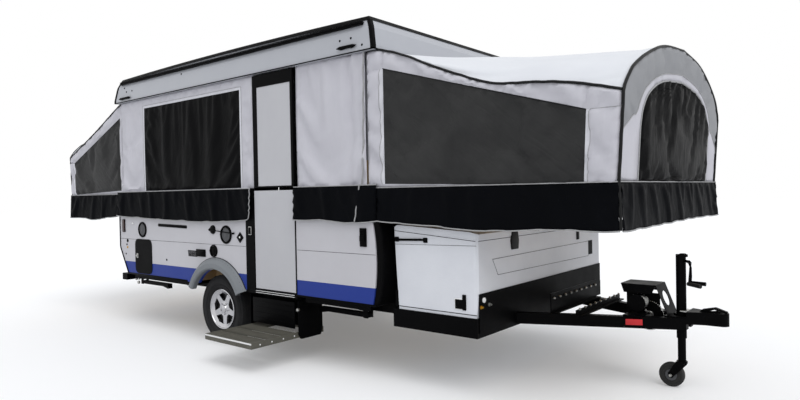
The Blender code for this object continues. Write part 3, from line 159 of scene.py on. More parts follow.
@dataclass(frozen=True)
class Finish:
    """A surface finish: a base colour with slight variation, and a fine relief.

    Attributes:
        name: the material's name.
        color: sRGB hex of the base.
        shade: sRGB hex that patches of the surface drift towards.
        roughness: mean roughness.
        metallic: 1 for bare metal.
        patch_mm: size of the colour patches.
        grain_mm: size of the relief's grain.
        relief_mm: depth of the relief.
        drift: share of the second colour in the patches.
        coat: strength of a clear coat.
        sheen: strength of a cloth's sheen.
        specular: specular level; black goods that look flat in daylight have little.
    """

    name: str
    color: str
    shade: str
    roughness: float = 0.5
    metallic: float = 0.0
    patch_mm: float = 300.0
    grain_mm: float = 6.0
    relief_mm: float = 0.1
    drift: float = 0.5
    coat: float = 0.0
    sheen: float = 0.0
    specular: float = 0.4

    def material(self) -> bpy.types.Material:
        """Returns the finish's material, built the first time it is asked for."""
        found = bpy.data.materials.get(self.name)
        return found or self.build()

    def build(self) -> bpy.types.Material:
        """Builds the node tree.

        Returns:
            The new material.
        """
        look = bpy.data.materials.new(self.name)
        look.use_nodes = True
        tree = look.node_tree
        tree.nodes.clear()
        place = add_node(tree, "ShaderNodeTexCoord").outputs["Object"]
        shader = add_node(tree, "ShaderNodeBsdfPrincipled",
                          {"Metallic": self.metallic, "Coat Weight": self.coat,
                           "Coat Roughness": 0.12, "Sheen Weight": self.sheen,
                           "Sheen Roughness": 0.4, "Specular IOR Level": self.specular})
        tree.links.new(self.paint(tree, place), shader.inputs["Base Color"])
        tree.links.new(self.gloss(tree, place), shader.inputs["Roughness"])
        bump = add_node(tree, "ShaderNodeBump", {"Strength": 1.0, "Distance": self.relief_mm / 1000},
                        {"Height": self.height(tree, place)})
        tree.links.new(bump.outputs["Normal"], shader.inputs["Normal"])
        add_node(tree, "ShaderNodeOutputMaterial", links={"Surface": shader.outputs["BSDF"]})
        return look

    def paint(self, tree: Tree, place: Socket) -> Socket:
        """Adds the base colour, drifting softly between two close tones.

        Args:
            tree: the material's node tree.
            place: coordinates in metres.

        Returns:
            The colour.
        """
        cloud = add_node(tree, "ShaderNodeTexNoise",
                         {"Scale": 1000.0 / self.patch_mm, "Detail": 4.0, "Roughness": 0.6},
                         {"Vector": place})
        share = add_node(tree, "ShaderNodeMapRange",
                         {"From Min": 0.35, "From Max": 0.70, "To Max": self.drift},
                         {"Value": cloud.outputs["Fac"]})
        mix = add_node(tree, "ShaderNodeMix", {6: linear(self.color), 7: linear(self.shade)},
                       {0: share.outputs["Result"]}, data_type="RGBA")
        return mix.outputs[2]

    def gloss(self, tree: Tree, place: Socket) -> Socket:
        """Adds the roughness, with smudges a hand's width apart.

        Args:
            tree: the material's node tree.
            place: coordinates in metres.

        Returns:
            The roughness.
        """
        smudge = add_node(tree, "ShaderNodeTexNoise", {"Scale": 7.0, "Detail": 3.0}, {"Vector": place})
        spread = add_node(tree, "ShaderNodeMapRange",
                          {"From Min": 0.3, "From Max": 0.7, "To Min": self.roughness * 0.88,
                           "To Max": min(1.0, self.roughness * 1.12)},
                          {"Value": smudge.outputs["Fac"]})
        return spread.outputs["Result"]

    def height(self, tree: Tree, place: Socket) -> Socket:
        """Adds the relief: an even grain.

        Args:
            tree: the material's node tree.
            place: coordinates in metres.

        Returns:
            The relief's height.
        """
        grain = add_node(tree, "ShaderNodeTexNoise",
                         {"Scale": 1000.0 / self.grain_mm, "Detail": 3.0}, {"Vector": place})
        return grain.outputs["Fac"]


@dataclass(frozen=True)
class StripedPanel(Finish):
    """A laminated side panel, gel-coated, with a painted band along its foot.

    Attributes:
        band: sRGB hex of the band.
        band_top: height of the band's top edge, in stance metres.
    """

    band: str = "24398A"
    band_top: float = 0.652

    def paint(self, tree: Tree, place: Socket) -> Socket:
        """The panel's colour with the band below it; takes and returns what Finish.paint does."""
        base = super().paint(tree, place)
        split = add_node(tree, "ShaderNodeSeparateXYZ", links={"Vector": place})
        below = add_node(tree, "ShaderNodeMath", {1: self.band_top + STANCE.z},
                         {0: split.outputs["Z"]}, operation="LESS_THAN")
        mix = add_node(tree, "ShaderNodeMix", {7: linear(self.band)},
                       {0: below.outputs[0], 6: base}, data_type="RGBA")
        return mix.outputs[2]


@dataclass(frozen=True)
class WovenCloth(Finish):
    """Coated polyester canvas: a plain weave drawn at a size that still shows.

    Attributes:
        thread_mm: spacing of the drawn threads; the real 0.5 mm would vanish.
        slub: share of the relief that comes from soft creases.
        crease_mm: width of the creases.
        crease_lean: degrees by which the creases lean forward at their top.
        crease_stretch: length of a crease against its width.
    """

    thread_mm: float = 5.0
    slub: float = 0.6
    crease_mm: float = 60.0
    crease_lean: float = 0.0
    crease_stretch: float = 5.0

    def height(self, tree: Tree, place: Socket) -> Socket:
        """Warp and weft ridges with creases over them; takes and returns what Finish.height does."""
        scale = 1000.0 / self.thread_mm / WAVE_PERIOD
        warp, weft = (add_node(tree, "ShaderNodeTexWave", {"Scale": scale, "Distortion": 0.6},
                               {"Vector": place}, wave_type="BANDS", bands_direction=way)
                      for way in ("DIAGONAL", "Z"))
        weave = add_node(tree, "ShaderNodeMath", links={0: warp.outputs["Fac"], 1: weft.outputs["Fac"]},
                         operation="MULTIPLY")
        lean = add_node(tree, "ShaderNodeMapping",
                        {"Rotation": (0.0, math.radians(self.crease_lean), 0.0),
                         "Scale": (1.0, 1.0, self.crease_stretch)}, {"Vector": place},
                        vector_type="TEXTURE")
        crease = add_node(tree, "ShaderNodeTexNoise",
                          {"Scale": 1000.0 / self.crease_mm, "Detail": 2.0, "Distortion": 0.5},
                          {"Vector": lean.outputs["Vector"]})
        deep = add_node(tree, "ShaderNodeMath", {1: self.slub * CREASE_DEPTH},
                        {0: crease.outputs["Fac"]}, operation="MULTIPLY")
        total = add_node(tree, "ShaderNodeMath", links={0: weave.outputs[0], 1: deep.outputs[0]},
                         operation="ADD")
        return total.outputs[0]


@dataclass(frozen=True)
class PebbledShell(Finish):
    """Rotomoulded polyethylene with a coarse pebble from the mould."""

    def height(self, tree: Tree, place: Socket) -> Socket:
        """Rounded pebbles; takes and returns what Finish.height does."""
        cells = add_node(tree, "ShaderNodeTexVoronoi", {"Scale": 1000.0 / self.grain_mm},
                         {"Vector": place}, feature="SMOOTH_F1")
        return cells.outputs["Distance"]


@dataclass(frozen=True)
class BrushedMetal(Finish):
    """Bare metal with fine turning or brushing marks."""

    def height(self, tree: Tree, place: Socket) -> Socket:
        """Long fine scratches; takes and returns what Finish.height does."""
        stretch = add_node(tree, "ShaderNodeMapping", {"Scale": (1.0, 12.0, 1.0)}, {"Vector": place})
        marks = add_node(tree, "ShaderNodeTexNoise", {"Scale": 1000.0 / self.grain_mm, "Detail": 4.0},
                         {"Vector": stretch.outputs["Vector"]})
        return marks.outputs["Fac"]


@dataclass(frozen=True)
class PlywoodFace(Finish):
    """Birch plywood: long grain figure along X."""

    def height(self, tree: Tree, place: Socket) -> Socket:
        """Grain lines; takes and returns what Finish.height does."""
        stretch = add_node(tree, "ShaderNodeMapping", {"Scale": (0.15, 1.0, 1.0)}, {"Vector": place})
        grain = add_node(tree, "ShaderNodeTexNoise", {"Scale": 1000.0 / self.grain_mm, "Detail": 5.0},
                         {"Vector": stretch.outputs["Vector"]})
        return grain.outputs["Fac"]


# Gel-coated glass fibre, moulded: smooth with a soft gloss, slightly wavy over hand widths.
ROOF_GELCOAT = Finish("gelcoat_silver", "ACAEB4", "A5A7AE", 0.40, grain_mm=90, relief_mm=0.5, coat=0.08,
                      specular=0.35)
# Gel-coated glass fibre laminated to plywood: flat, with a faint long wave.
SIDE_PANEL = StripedPanel("laminated_side_panel", "C2C1C6", "BAB9BE", 0.42, grain_mm=140,
                          relief_mm=0.5, coat=0.02, specular=0.16)
DOOR_SKIN = Finish("door_skin_embossed", "BCBCC0", "B4B4B9", 0.45, grain_mm=4, relief_mm=0.05, specular=0.2)
# Coated polyester canvas: matt, a weave and soft upright creases.
CANVAS = WovenCloth("polyester_canvas_grey", "C4C3CA", "B8B7BF", 0.80, relief_mm=0.30, sheen=0.08,
                    slub=0.9, crease_mm=45, crease_stretch=9, specular=0.2)
HEM_CLOTH = WovenCloth("canvas_hem_pale", "D4D4DA", "C8C8CF", 0.75, relief_mm=0.12, specular=0.2)
HOOD_CLOTH = WovenCloth("canvas_hood_grey", "949598", "8B8C90", 0.80, relief_mm=0.25, specular=0.2)
# Vinyl-coated canopy cloth: pale, a little gloss, nearly no weave.
CANOPY_CLOTH = WovenCloth("vinyl_canopy_white", "D8DADF", "D0D2D8", 0.55, relief_mm=0.15, slub=0.5,
                          crease_mm=120, crease_stretch=2, specular=0.25)
# Dark insect mesh behind a clear flap: charcoal with leaning creases that catch the light.
SCREEN = WovenCloth("window_mesh_charcoal", "393939", "242425", 0.38, thread_mm=4.0, relief_mm=0.6,
                    slub=1.4, crease_mm=46, crease_lean=-52, crease_stretch=9, specular=0.05)
# A darker copy of the charcoal mesh: painted shade, for the end windows and the windows of the walls under
# the roof.
DARK_SCREEN = WovenCloth("window_mesh_black", "0D0D0E", "121213", 0.40, thread_mm=4.0, relief_mm=0.45,
                         slub=0.9, crease_mm=55, crease_lean=25, crease_stretch=5, specular=0.03)
SKIRT_CLOTH = WovenCloth("coated_nylon_black", "0C0D10", "08090B", 0.38, relief_mm=0.45, slub=1.0,
                         crease_mm=70, crease_lean=-40, crease_stretch=5, specular=0.012)
PIPING_GREY = Finish("piping_grey_white", "A2A2A3", "838385", 0.6, patch_mm=20, grain_mm=2, specular=0.25)
PIPING_BLACK = Finish("piping_black", "0C0D0E", "131415", 0.5, patch_mm=40, grain_mm=2, specular=0.2)
# Powder coat over steel: satin black with a fine orange peel.
POWDER_BLACK = Finish("powder_coat_black", "060607", "0A0A0B", 0.38, patch_mm=120, grain_mm=3,
                      relief_mm=0.08, specular=0.03)
# Extruded PVC trim: matt black.
TRIM = Finish("pvc_trim_black", "070708", "0B0B0C", 0.42, patch_mm=60, grain_mm=5, relief_mm=0.08,
              specular=0.03)
RUBBER_CATCH = Finish("epdm_catch_black", "121213", "1A1A1B", 0.6, patch_mm=20, grain_mm=2, specular=0.25)
# Rotomoulded polyethylene: off-white with the mould's pebble, about 7 mm across.
BOX_SHELL = PebbledShell("rotomoulded_white", "D9DBE1", "CED0D7", 0.55, grain_mm=7, relief_mm=0.9,
                         drift=0.6, specular=0.3)
FENDER_PLASTIC = Finish("abs_fender_grey", "797D81", "707478", 0.45, grain_mm=5, relief_mm=0.1, specular=0.25)
# Vulcanised rubber: matt near-black, dusty in patches.
TYRE_RUBBER = Finish("tyre_rubber", "262627", "303031", 0.85, patch_mm=70, grain_mm=2, relief_mm=0.15,
                     specular=0.15)
CASTER_RUBBER = Finish("caster_rubber", "101011", "171718", 0.7, patch_mm=30, grain_mm=2,
                       relief_mm=0.1, specular=0.2)
# Machined and lacquered aluminium: bright with fine turning marks.
ALLOY = BrushedMetal("machined_alloy", "C9C9CC", "B4B4B8", 0.22, 1.0, grain_mm=4, relief_mm=0.03)
POCKET_PAINT = Finish("alloy_pocket_black", "0E0E0F", "151516", 0.5, 0.0, grain_mm=3, specular=0.25)
ZINC = BrushedMetal("zinc_plate", "B9B9B6", "9C9C98", 0.32, 1.0, patch_mm=12, grain_mm=2, relief_mm=0.03)
BRASS = BrushedMetal("brass_fitting", "C0902C", "A67C28", 0.3, 1.0, patch_mm=12, grain_mm=2,
                     relief_mm=0.03)
BOARD = PlywoodFace("birch_plywood", "B59B76", "A2885F", 0.62, grain_mm=8, relief_mm=0.15)
# Worn tread plate: grey-brown, darker in patches.
TREAD = BrushedMetal("tread_plate_worn", "5C5A52", "47463F", 0.65, 0.0, patch_mm=60, grain_mm=5,
                     relief_mm=0.2, specular=0.3)
RED_PAINT = Finish("enamel_red", "C4252B", "B01F26", 0.35, grain_mm=3, relief_mm=0.04)
WHITE_PAINT = Finish("enamel_white", "E4E4E4", "DADADA", 0.4, grain_mm=3, relief_mm=0.04)
LENS_RED = Finish("lens_red_dark", "2E0709", "210506", 0.18, grain_mm=6, relief_mm=0.1, coat=0.4)
LENS_AMBER = Finish("lens_amber", "B98A1E", "A87A18", 0.2, grain_mm=6, relief_mm=0.1, coat=0.4)
CAP_GREY = Finish("port_cap_grey", "4C4D50", "3E3F42", 0.45, grain_mm=3, relief_mm=0.1, specular=0.3)


class Bench:
    """Gathers simple solids and sheets into one mesh, drawn in stance metres."""

    def __init__(self) -> None:
        """Starts an empty mesh."""
        self.work = bmesh.new()

    def box(self, low: Point, high: Point, bevel: float = 0.0, segments: int = 2) -> "Bench":
        """Adds a box between two corners, with its edges rounded.

        Args:
            low: the lowest corner.
            high: the highest corner.
            bevel: width of the rounded edges.
            segments: steps in each rounded edge.

        Returns:
            The bench, so that calls can follow on.
        """
        low, high = Vector(low), Vector(high)
        made = bmesh.ops.create_cube(self.work, size=1.0, matrix=Matrix.Translation((low + high) / 2)
                                     @ Matrix.Diagonal((*(high - low), 1.0)))
        if bevel:
            edges = {edge for vert in made["verts"] for edge in vert.link_edges}
            bmesh.ops.bevel(self.work, geom=list(edges), offset=bevel, segments=segments,
                            affect="EDGES", profile=0.5)
        return self

    def rod(self, start: Point, end: Point, radius: float, end_radius: float | None = None,
            sides: int = 20) -> "Bench":
        """Adds a round bar or cone between two points.

        Args:
            start: the middle of its first end.
            end: the middle of its last end.
            radius: its radius at the start.
            end_radius: its radius at the end, where that differs.
            sides: steps round it.

        Returns:
            The bench.
        """
        start, end = Vector(start), Vector(end)
        turn = Vector((0, 0, 1)).rotation_difference(end - start).to_matrix().to_4x4()
        bmesh.ops.create_cone(self.work, cap_ends=True, segments=sides, radius1=radius,
                              radius2=radius if end_radius is None else end_radius,
                              depth=(end - start).length,
                              matrix=Matrix.Translation((start + end) / 2) @ turn)
        return self

    def tube(self, points: Sequence[Point], radius: float, sides: int = 8,
             closed: bool = False) -> "Bench":
        """Adds a tube along a path.

        Args:
            points: the centreline.
            radius: the tube's radius.
            sides: steps round it.
            closed: joins the last point to the first.

        Returns:
            The bench.
        """
        path = [Vector(point) for point in points]
        turns = [2 * math.pi * step / sides for step in range(sides)]
        count = len(path)
        rings = []
        normal = None
        for index, place in enumerate(path):
            before = path[index - 1] if closed or index else place
            after = path[(index + 1) % count] if closed or index < count - 1 else place
            way = (after - before).normalized()
            if normal is None:
                normal = way.orthogonal().normalized()
            normal = (normal - way * normal.dot(way)).normalized()
            across = way.cross(normal)
            rings.append([place + radius * (normal * math.cos(turn) + across * math.sin(turn))
                          for turn in turns])
        return self.loft(rings, closed)

    def loft(self, rings: Sequence[Sequence[Point]], closed: bool = False) -> "Bench":
        """Joins rings of points into one skin.

        Args:
            rings: rows of points, all of one length.
            closed: joins the last ring to the first; else both ends are filled.

        Returns:
            The bench.
        """
        made = [[self.work.verts.new(point) for point in ring] for ring in rings]
        for first, second in list(zip(made, made[1:])) + ([(made[-1], made[0])] if closed else []):
            for step in range(len(first)):
                after = (step + 1) % len(first)
                self.work.faces.new((first[step], first[after], second[after], second[step]))
        if not closed:
            self.work.faces.new(list(reversed(made[0])))
            self.work.faces.new(made[-1])
        return self

    def plate(self, outline: Sequence[Point], frame: tuple[Point, Point, Point], depth: float,
              bevel: float = 0.0) -> "Bench":
        """Adds a flat plate.

        Args:
            outline: (u, v) corners.
            frame: the plate's origin, its u direction and its v direction.
            depth: thickness along u cross v.
            bevel: width of the rounded rim.

        Returns:
            The bench.
        """
        origin, u_way, v_way = (Vector(item) for item in frame)
        out = u_way.cross(v_way).normalized() * depth
        low = [self.work.verts.new(origin + u_way * u + v_way * v) for u, v in outline]
        high = [self.work.verts.new(vert.co + out) for vert in low]
        faces = [self.work.faces.new(list(reversed(low))), self.work.faces.new(high)]
        for index in range(len(low)):
            after = (index + 1) % len(low)
            faces.append(self.work.faces.new((low[index], low[after], high[after], high[index])))
        if bevel:
            bmesh.ops.bevel(self.work, geom=list(faces[1].edges), offset=bevel, segments=2,
                            affect="EDGES", profile=0.5)
        return self

    def lathe(self, profile: Sequence[Point], center: Point, axis: Point, steps: int = 48) -> "Bench":
        """Adds a turned shape.

        Args:
            profile: (radius, height) points, from one end of the axis to the other.
            center: where height is zero.
            axis: direction of the height.
            steps: steps round the axis.

        Returns:
            The bench.
        """
        center, axis = Vector(center), Vector(axis).normalized()
        first = axis.orthogonal()
        first = (first - axis * first.dot(axis)).normalized()
        second = axis.cross(first)
        rings = []
        for radius, height in profile:
            if radius < 1e-6:
                rings.append([self.work.verts.new(center + axis * height)])
                continue
            rings.append([self.work.verts.new(center + axis * height + radius * (
                first * math.cos(2 * math.pi * step / steps)
                + second * math.sin(2 * math.pi * step / steps))) for step in range(steps)])
        for low, high in zip(rings, rings[1:]):
            for step in range(steps):
                after = (step + 1) % steps
                corners = [low[step % len(low)], low[after % len(low)],
                           high[after % len(high)], high[step % len(high)]]
                corners = list(dict.fromkeys(corners))
                if len(corners) > 2:
                    self.work.faces.new(corners)
        return self

    def head(self, center: Point, axis: Point, flat: float, radius: float, top: float, rim: float,
             foot: float, sides: int = 6) -> "Bench":
        """Adds a bolt head or plug.

        Args:
            center: where height is zero.
            axis: the way that it faces.
            flat: radius of its flat top.
            radius: its own radius.
            top: height of its top.
            rim: height of its upper edge.
            foot: height of its foot.
            sides: steps round it.

        Returns:
            The bench.
        """
        return self.lathe(((0.0, top), (flat, top), (radius, rim), (radius, foot)), center, axis, sides)

    def place(self, name: str, finish: Finish, body: Body = Body.TRAILER) -> bpy.types.Object:
        """Makes the object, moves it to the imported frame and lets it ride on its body.

        Args:
            name: the object's name.
            finish: its surface.
            body: what it moves with.

        Returns:
            The new object.
        """
        bmesh.ops.recalc_face_normals(self.work, faces=self.work.faces)
        mesh = bpy.data.meshes.new(name)
        self.work.to_mesh(mesh)
        self.work.free()
        return place_mesh(name, mesh, [finish], body)


def place_mesh(name: str, mesh: bpy.types.Mesh, finishes: Sequence[Finish], body: Body,
               replaces: Sequence[str] = (),
               sharp: float = 35.0) -> bpy.types.Object:
    """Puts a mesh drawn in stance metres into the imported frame.

    Args:
        name: the object's name.
        mesh: its mesh.
        finishes: one for each of its material slots.
        body: what it moves with.
        replaces: nodes that it stands for.
        sharp: angle in degrees above which an edge stays sharp.

    Returns:
        The new object.
    """
    mesh.transform(Matrix.Translation(STANCE))
    mesh.shade_smooth()
    mesh.set_sharp_from_angle(angle=math.radians(sharp))
    item = bpy.data.objects.new(name, mesh)
    bpy.context.scene.collection.objects.link(item)
    for finish in finishes:
        mesh.materials.append(finish.material())
    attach(item, body.value)
    if replaces:
        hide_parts(*replaces)
    LOG.info("%s: %d faces on %s", name, len(mesh.polygons), body.value)
    return item


def arc(center: Point, radius: float, start: float, end: float, count: int) -> list[tuple[float, float]]:
    """Places points on an arc.

    Args:
        center: its centre, as (u, v).
        radius: its radius.
        start: first angle in degrees.
        end: last angle in degrees.
        count: number of points.

    Returns:
        The points, as (u, v).
    """
    turns = [math.radians(start + (end - start) * i / (count - 1)) for i in range(count)]
    return [(center[0] + radius * math.cos(turn), center[1] + radius * math.sin(turn)) for turn in turns]


def rounded(u_range: Point, v_range: Point, radius: float, count: int = 6) -> list[tuple[float, float]]:
    """Draws a rectangle with round corners.

    Args:
        u_range: its first and last u.
        v_range: its first and last v.
        radius: of the corners.
        count: points in each corner.

    Returns:
        The outline, as (u, v) points.
    """
    (u0, u1), (v0, v1) = u_range, v_range
    corners = (((u1 - radius, v0 + radius), -90), ((u1 - radius, v1 - radius), 0),
               ((u0 + radius, v1 - radius), 90), ((u0 + radius, v0 + radius), 180))
    return [point for center, start in corners for point in arc(center, radius, start, start + 90, count)]


def smooth(table: Sequence[Point], place: float) -> float:
    """Reads a table of (place, value) rows along one smooth curve.

    Args:
        table: rows in rising order of place.
        place: where to read.

    Returns:
        The value there.
    """
    if place <= table[0][0]:
        return table[0][1]
    if place >= table[-1][0]:
        return table[-1][1]
    index = max(k for k in range(len(table) - 1) if table[k][0] <= place)

    def slope(k: int) -> float:
        """The curve's slope at row k."""
        low, high = max(0, k - 1), min(len(table) - 1, k + 1)
        return (table[high][1] - table[low][1]) / (table[high][0] - table[low][0])

    (x0, y0), (x1, y1) = table[index], table[index + 1]
    span = x1 - x0
    t = (place - x0) / span
    return ((2 * t ** 3 - 3 * t ** 2 + 1) * y0 + (t ** 3 - 2 * t ** 2 + t) * span * slope(index)
            + (3 * t ** 2 - 2 * t ** 3) * y1 + (t ** 3 - t ** 2) * span * slope(index + 1))


def along(table: Sequence[Point], place: float) -> float:
    """Reads a table of (place, value) rows along straight lines between them.

    Args:
        table: rows in rising or falling order of place.
        place: where to read.

    Returns:
        The value there.
    """
    rows = sorted(table)
    if place <= rows[0][0]:
        return rows[0][1]
    for (x0, y0), (x1, y1) in zip(rows, rows[1:]):
        if place <= x1:
            return y0 + (y1 - y0) * (place - x0) / (x1 - x0)
    return rows[-1][1]


@dataclass
class ClothPanel:
    """A sheet of cloth on a grid, settled by a cloth simulation with its edges held.

    Attributes:
        name: the piece's name.
        columns: places along the sheet, from 0 to 1.
        rows: places up the sheet, from 0 to 1.
        surface: gives the point at a pair of such places.
        outward: the side on which folds may stand proud.
        held: says whether the grid point at (column, row) is sewn down.
        grow: how much larger the cloth is cut than its frame.
        push: size of the ripples that it starts from.
        ripple: ripples a metre across and along the folds.
        fold_way: the direction along which the folds run.
        seed: where the ripples' noise is read.
        gravity: share of gravity that acts.
        finish_of: index of the finish of the cell at (column, row).
        thickness: of the finished cloth.
        frames: length of the simulation.
        points: vertex index of each grid point.
        places: settled place of each grid point.
    """

    name: str
    columns: list[float]
    rows: list[float]
    surface: Callable[[float, float], Vector]
    outward: Vector
    held: Callable[[int, int], bool]
    grow: float = 0.02
    push: float = 0.004
    ripple: tuple[float, float] = (6.0, 2.0)
    fold_way: Vector = field(default_factory=lambda: Vector((0, 0, 1)))
    seed: float = 0.0
    gravity: float = 0.3
    finish_of: Callable[[int, int], int] = lambda column, row: 0
    thickness: float = 0.0016
    frames: int = 16
    points: dict = field(default_factory=dict)
    places: dict = field(default_factory=dict)

    def mesh(self) -> bpy.types.Mesh:
        """Builds the grid with its first ripples.

        Returns:
            The unsettled mesh.
        """
        work = bmesh.new()
        verts = {}
        for i, u in enumerate(self.columns):
            for j, v in enumerate(self.rows):
                place = self.surface(u, v)
                away = 0.0 if self.held(i, j) else self.push * self.wave(place)
                verts[i, j] = work.verts.new(place + self.outward * away)
        for i in range(len(self.columns) - 1):
            for j in range(len(self.rows) - 1):
                cell = ((i, j), (i + 1, j), (i + 1, j + 1), (i, j + 1))
                face = work.faces.new([verts[key] for key in cell])
                face.material_index = self.finish_of(i, j)
        work.verts.ensure_lookup_table()
        work.verts.index_update()
        self.points = {key: vert.index for key, vert in verts.items()}
        mesh = bpy.data.meshes.new(self.name)
        work.to_mesh(mesh)
        work.free()
        return mesh

    def wave(self, place: Vector) -> float:
        """Reads the first ripples: sharp crests that run along the folds.

        Args:
            place: where to read them.

        Returns:
            Their height, from -1 to 1.
        """
        across = self.fold_way.cross(self.outward)
        spot = Vector((place.dot(across) * self.ripple[0] + self.seed,
                       place.dot(self.fold_way) * self.ripple[1], self.seed))
        crest = 1.0 - 2.0 * abs(noise.noise(spot))
        return 0.6 * crest + 0.4 * noise.noise(spot * 2.3)

    def settle(self) -> bpy.types.Mesh:
        """Returns:
            The settled mesh, in stance metres and still without thickness.
        """
        mesh = self.mesh()
        item = bpy.data.objects.new(self.name + "_sim", mesh)
        bpy.context.scene.collection.objects.link(item)
        group = item.vertex_groups.new(name="held")
        group.add([index for (i, j), index in self.points.items() if self.held(i, j)], 1.0, "REPLACE")
        cloth = item.modifiers.new("cloth", "CLOTH")
        cloth.settings.quality = 4
        cloth.settings.mass = 0.25
        cloth.settings.vertex_group_mass = "held"
        cloth.settings.shrink_min = -self.grow
        cloth.settings.tension_stiffness = 12.0
        cloth.settings.compression_stiffness = 8.0
        cloth.settings.shear_stiffness = 4.0
        cloth.settings.bending_stiffness = 0.35
        cloth.settings.air_damping = 3.0
        cloth.settings.effector_weights.gravity = self.gravity
        cloth.collision_settings.use_collision = False
        cloth.point_cache.frame_start = 1
        cloth.point_cache.frame_end = self.frames
        scene = bpy.context.scene
        for frame in range(1, self.frames + 1):
            scene.frame_set(frame)
        graph = bpy.context.evaluated_depsgraph_get()
        settled = bpy.data.meshes.new_from_object(item.evaluated_get(graph))
        scene.frame_set(1)
        bpy.data.objects.remove(item, do_unlink=True)
        return settled

    def build(self, finishes: Sequence[Finish], body: Body, replaces: Sequence[str] = (),
              slot: str | None = None, reach: float = 0.03, inward: float = 0.008) -> bpy.types.Object:
        """Settles the sheet, gives it its thickness and puts it in place.

        Args:
            finishes: one for each index that finish_of gives.
            body: what it moves with.
            replaces: nodes that it stands for.
            slot: the record's material slot; not used.
            reach: how far a point may stand off its flat place.
            inward: how far it may fall in behind that place.

        Returns:
            The new object.
        """
        settled = self.settle()
        self.keep_close(settled, reach, inward)
        self.places = {key: settled.vertices[index].co.copy() for key, index in self.points.items()}
        item = place_mesh(self.name, settled, finishes, body, replaces, sharp=60)
        solid = item.modifiers.new("cloth_thickness", "SOLIDIFY")
        solid.thickness = self.thickness
        solid.offset = -1.0
        return item

    def keep_close(self, mesh: bpy.types.Mesh, reach: float, inward: float) -> None:
        """Holds every point near its flat place, as seams and lining do.

        Args:
            mesh: the settled mesh, whose points are moved.
            reach: how far a point may stand off.
            inward: how far it may fall in.
        """
        for (i, j), index in self.points.items():
            home = self.surface(self.columns[i], self.rows[j])
            away = mesh.vertices[index].co - home
            if away.length > reach:
                away *= reach / away.length
            depth = away.dot(self.outward)
            if depth < -inward:
                away -= self.outward * (depth + inward)
            mesh.vertices[index].co = home + away

    def line(self, cells: Iterable[tuple[int, int]], off: float = 0.0) -> list[Vector]:
        """The settled places of some grid points, moved outward by off."""
        return [self.places[cell] + self.outward * off for cell in cells]


def fold_down(item: bpy.types.Object, joint: str) -> None:
    """Gives a piece of cloth its own copy of its mesh.

    Args:
        item: the piece.
        joint: a joint's name; not used.
    """
    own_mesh(item)


def steps(stops: Sequence[float], pitch: float, length: float) -> tuple[list[float], list[int]]:
    """Splits a length into cells that meet at the given stops.

    Args:
        stops: places from 0 to 1 that need a grid line.
        pitch: cell size in metres.
        length: the whole length in metres.

    Returns:
        The grid places and the index of each stop among them.
    """
    places, marks = [stops[0]], [0]
    for low, high in zip(stops, stops[1:]):
        count = max(1, round((high - low) * length / pitch))
        places += [low + (high - low) * index / count for index in range(1, count + 1)]
        marks.append(len(places) - 1)
    return places, marks


@dataclass
class Skirt:
    """One straight length of black skirt, sewn along its top, with a piped hem.

    Attributes:
        name: the piece's name.
        body: what it moves with.
        start: (x, y) of its first upright edge.
        end: (x, y) of its last one.
        side: the way that it faces.
        top: height of the seam.
        hem: (share, height) of the lower edge.
        seed: where its wrinkles are read.
        round_end: radius of the last lower corner.
        inset: (share, distance) by which it turns in.
        pitch: size of the cloth's grid cells.
        flare: how far the hem stands out.
    """

    name: str
    body: Body
    start: Point
    end: Point
    side: Vector
    top: float
    hem: Sequence[Point]
    seed: float
    round_end: float = 0.0
    inset: Sequence[Point] = ((0.0, 0.0), (1.0, 0.0))
    pitch: float = 0.024
    flare: float = 0.010

    def build(self, replaces: Sequence[str] = (), rests_on: str = "wall_left") -> list[bpy.types.Object]:
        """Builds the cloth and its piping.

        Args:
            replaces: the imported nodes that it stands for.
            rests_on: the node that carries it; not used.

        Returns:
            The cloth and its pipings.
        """
        start, end = Vector((*self.start, 0.0)), Vector((*self.end, 0.0))
        length = (end - start).length
        depths = [self.top - smooth(self.hem, k / 20) for k in range(21)]
        columns, _ = steps([0.0, 1.0], self.pitch, length)
        rows, _ = steps([0.0, 1.0], self.pitch, max(depths))

        def surface(u: float, v: float) -> Vector:
            """The skirt's place at a share of its length and depth."""
            low = smooth(self.hem, u)
            if self.round_end:
                away = max(0.0, self.round_end - (1.0 - u) * length)
                low += self.round_end - math.sqrt(max(0.0, self.round_end ** 2 - away ** 2))
            spot = start.lerp(end, u) + self.side * (self.flare * v - along(self.inset, u))
            return Vector((spot.x, spot.y, self.top + (low - self.top) * v))

        last_column, last_row = len(columns) - 1, len(rows) - 1
        way = (end - start).normalized()
        panel = ClothPanel(self.name + "_cloth", columns, rows, surface, self.side,
                           lambda i, j: j == 0 or (i in (0, last_column) and j % 3 == 0),
                           grow=0.035, push=0.012, ripple=(7.0, 1.6), seed=self.seed, gravity=0.5,
                           fold_way=(way * 0.8 - Vector((0, 0, 0.6))))
        item = panel.build([SKIRT_CLOTH], self.body, replaces, "canvas_black", reach=0.018, inward=0.004)
        ring = [(i, last_row) for i in range(last_column + 1)]
        if self.round_end:
            ring += [(last_column, j) for j in range(last_row - 1, -1, -1)]
        hem = Bench().tube(panel.line(ring, 0.002), 0.0042, sides=7)
        top = Bench().tube(panel.line([(i, 0) for i in range(last_column + 1)], 0.003), 0.0035, sides=7)
        return [item, hem.place(self.name + "_hem_piping", PIPING_GREY, self.body),
                top.place(self.name + "_top_piping", PIPING_GREY, self.body)]


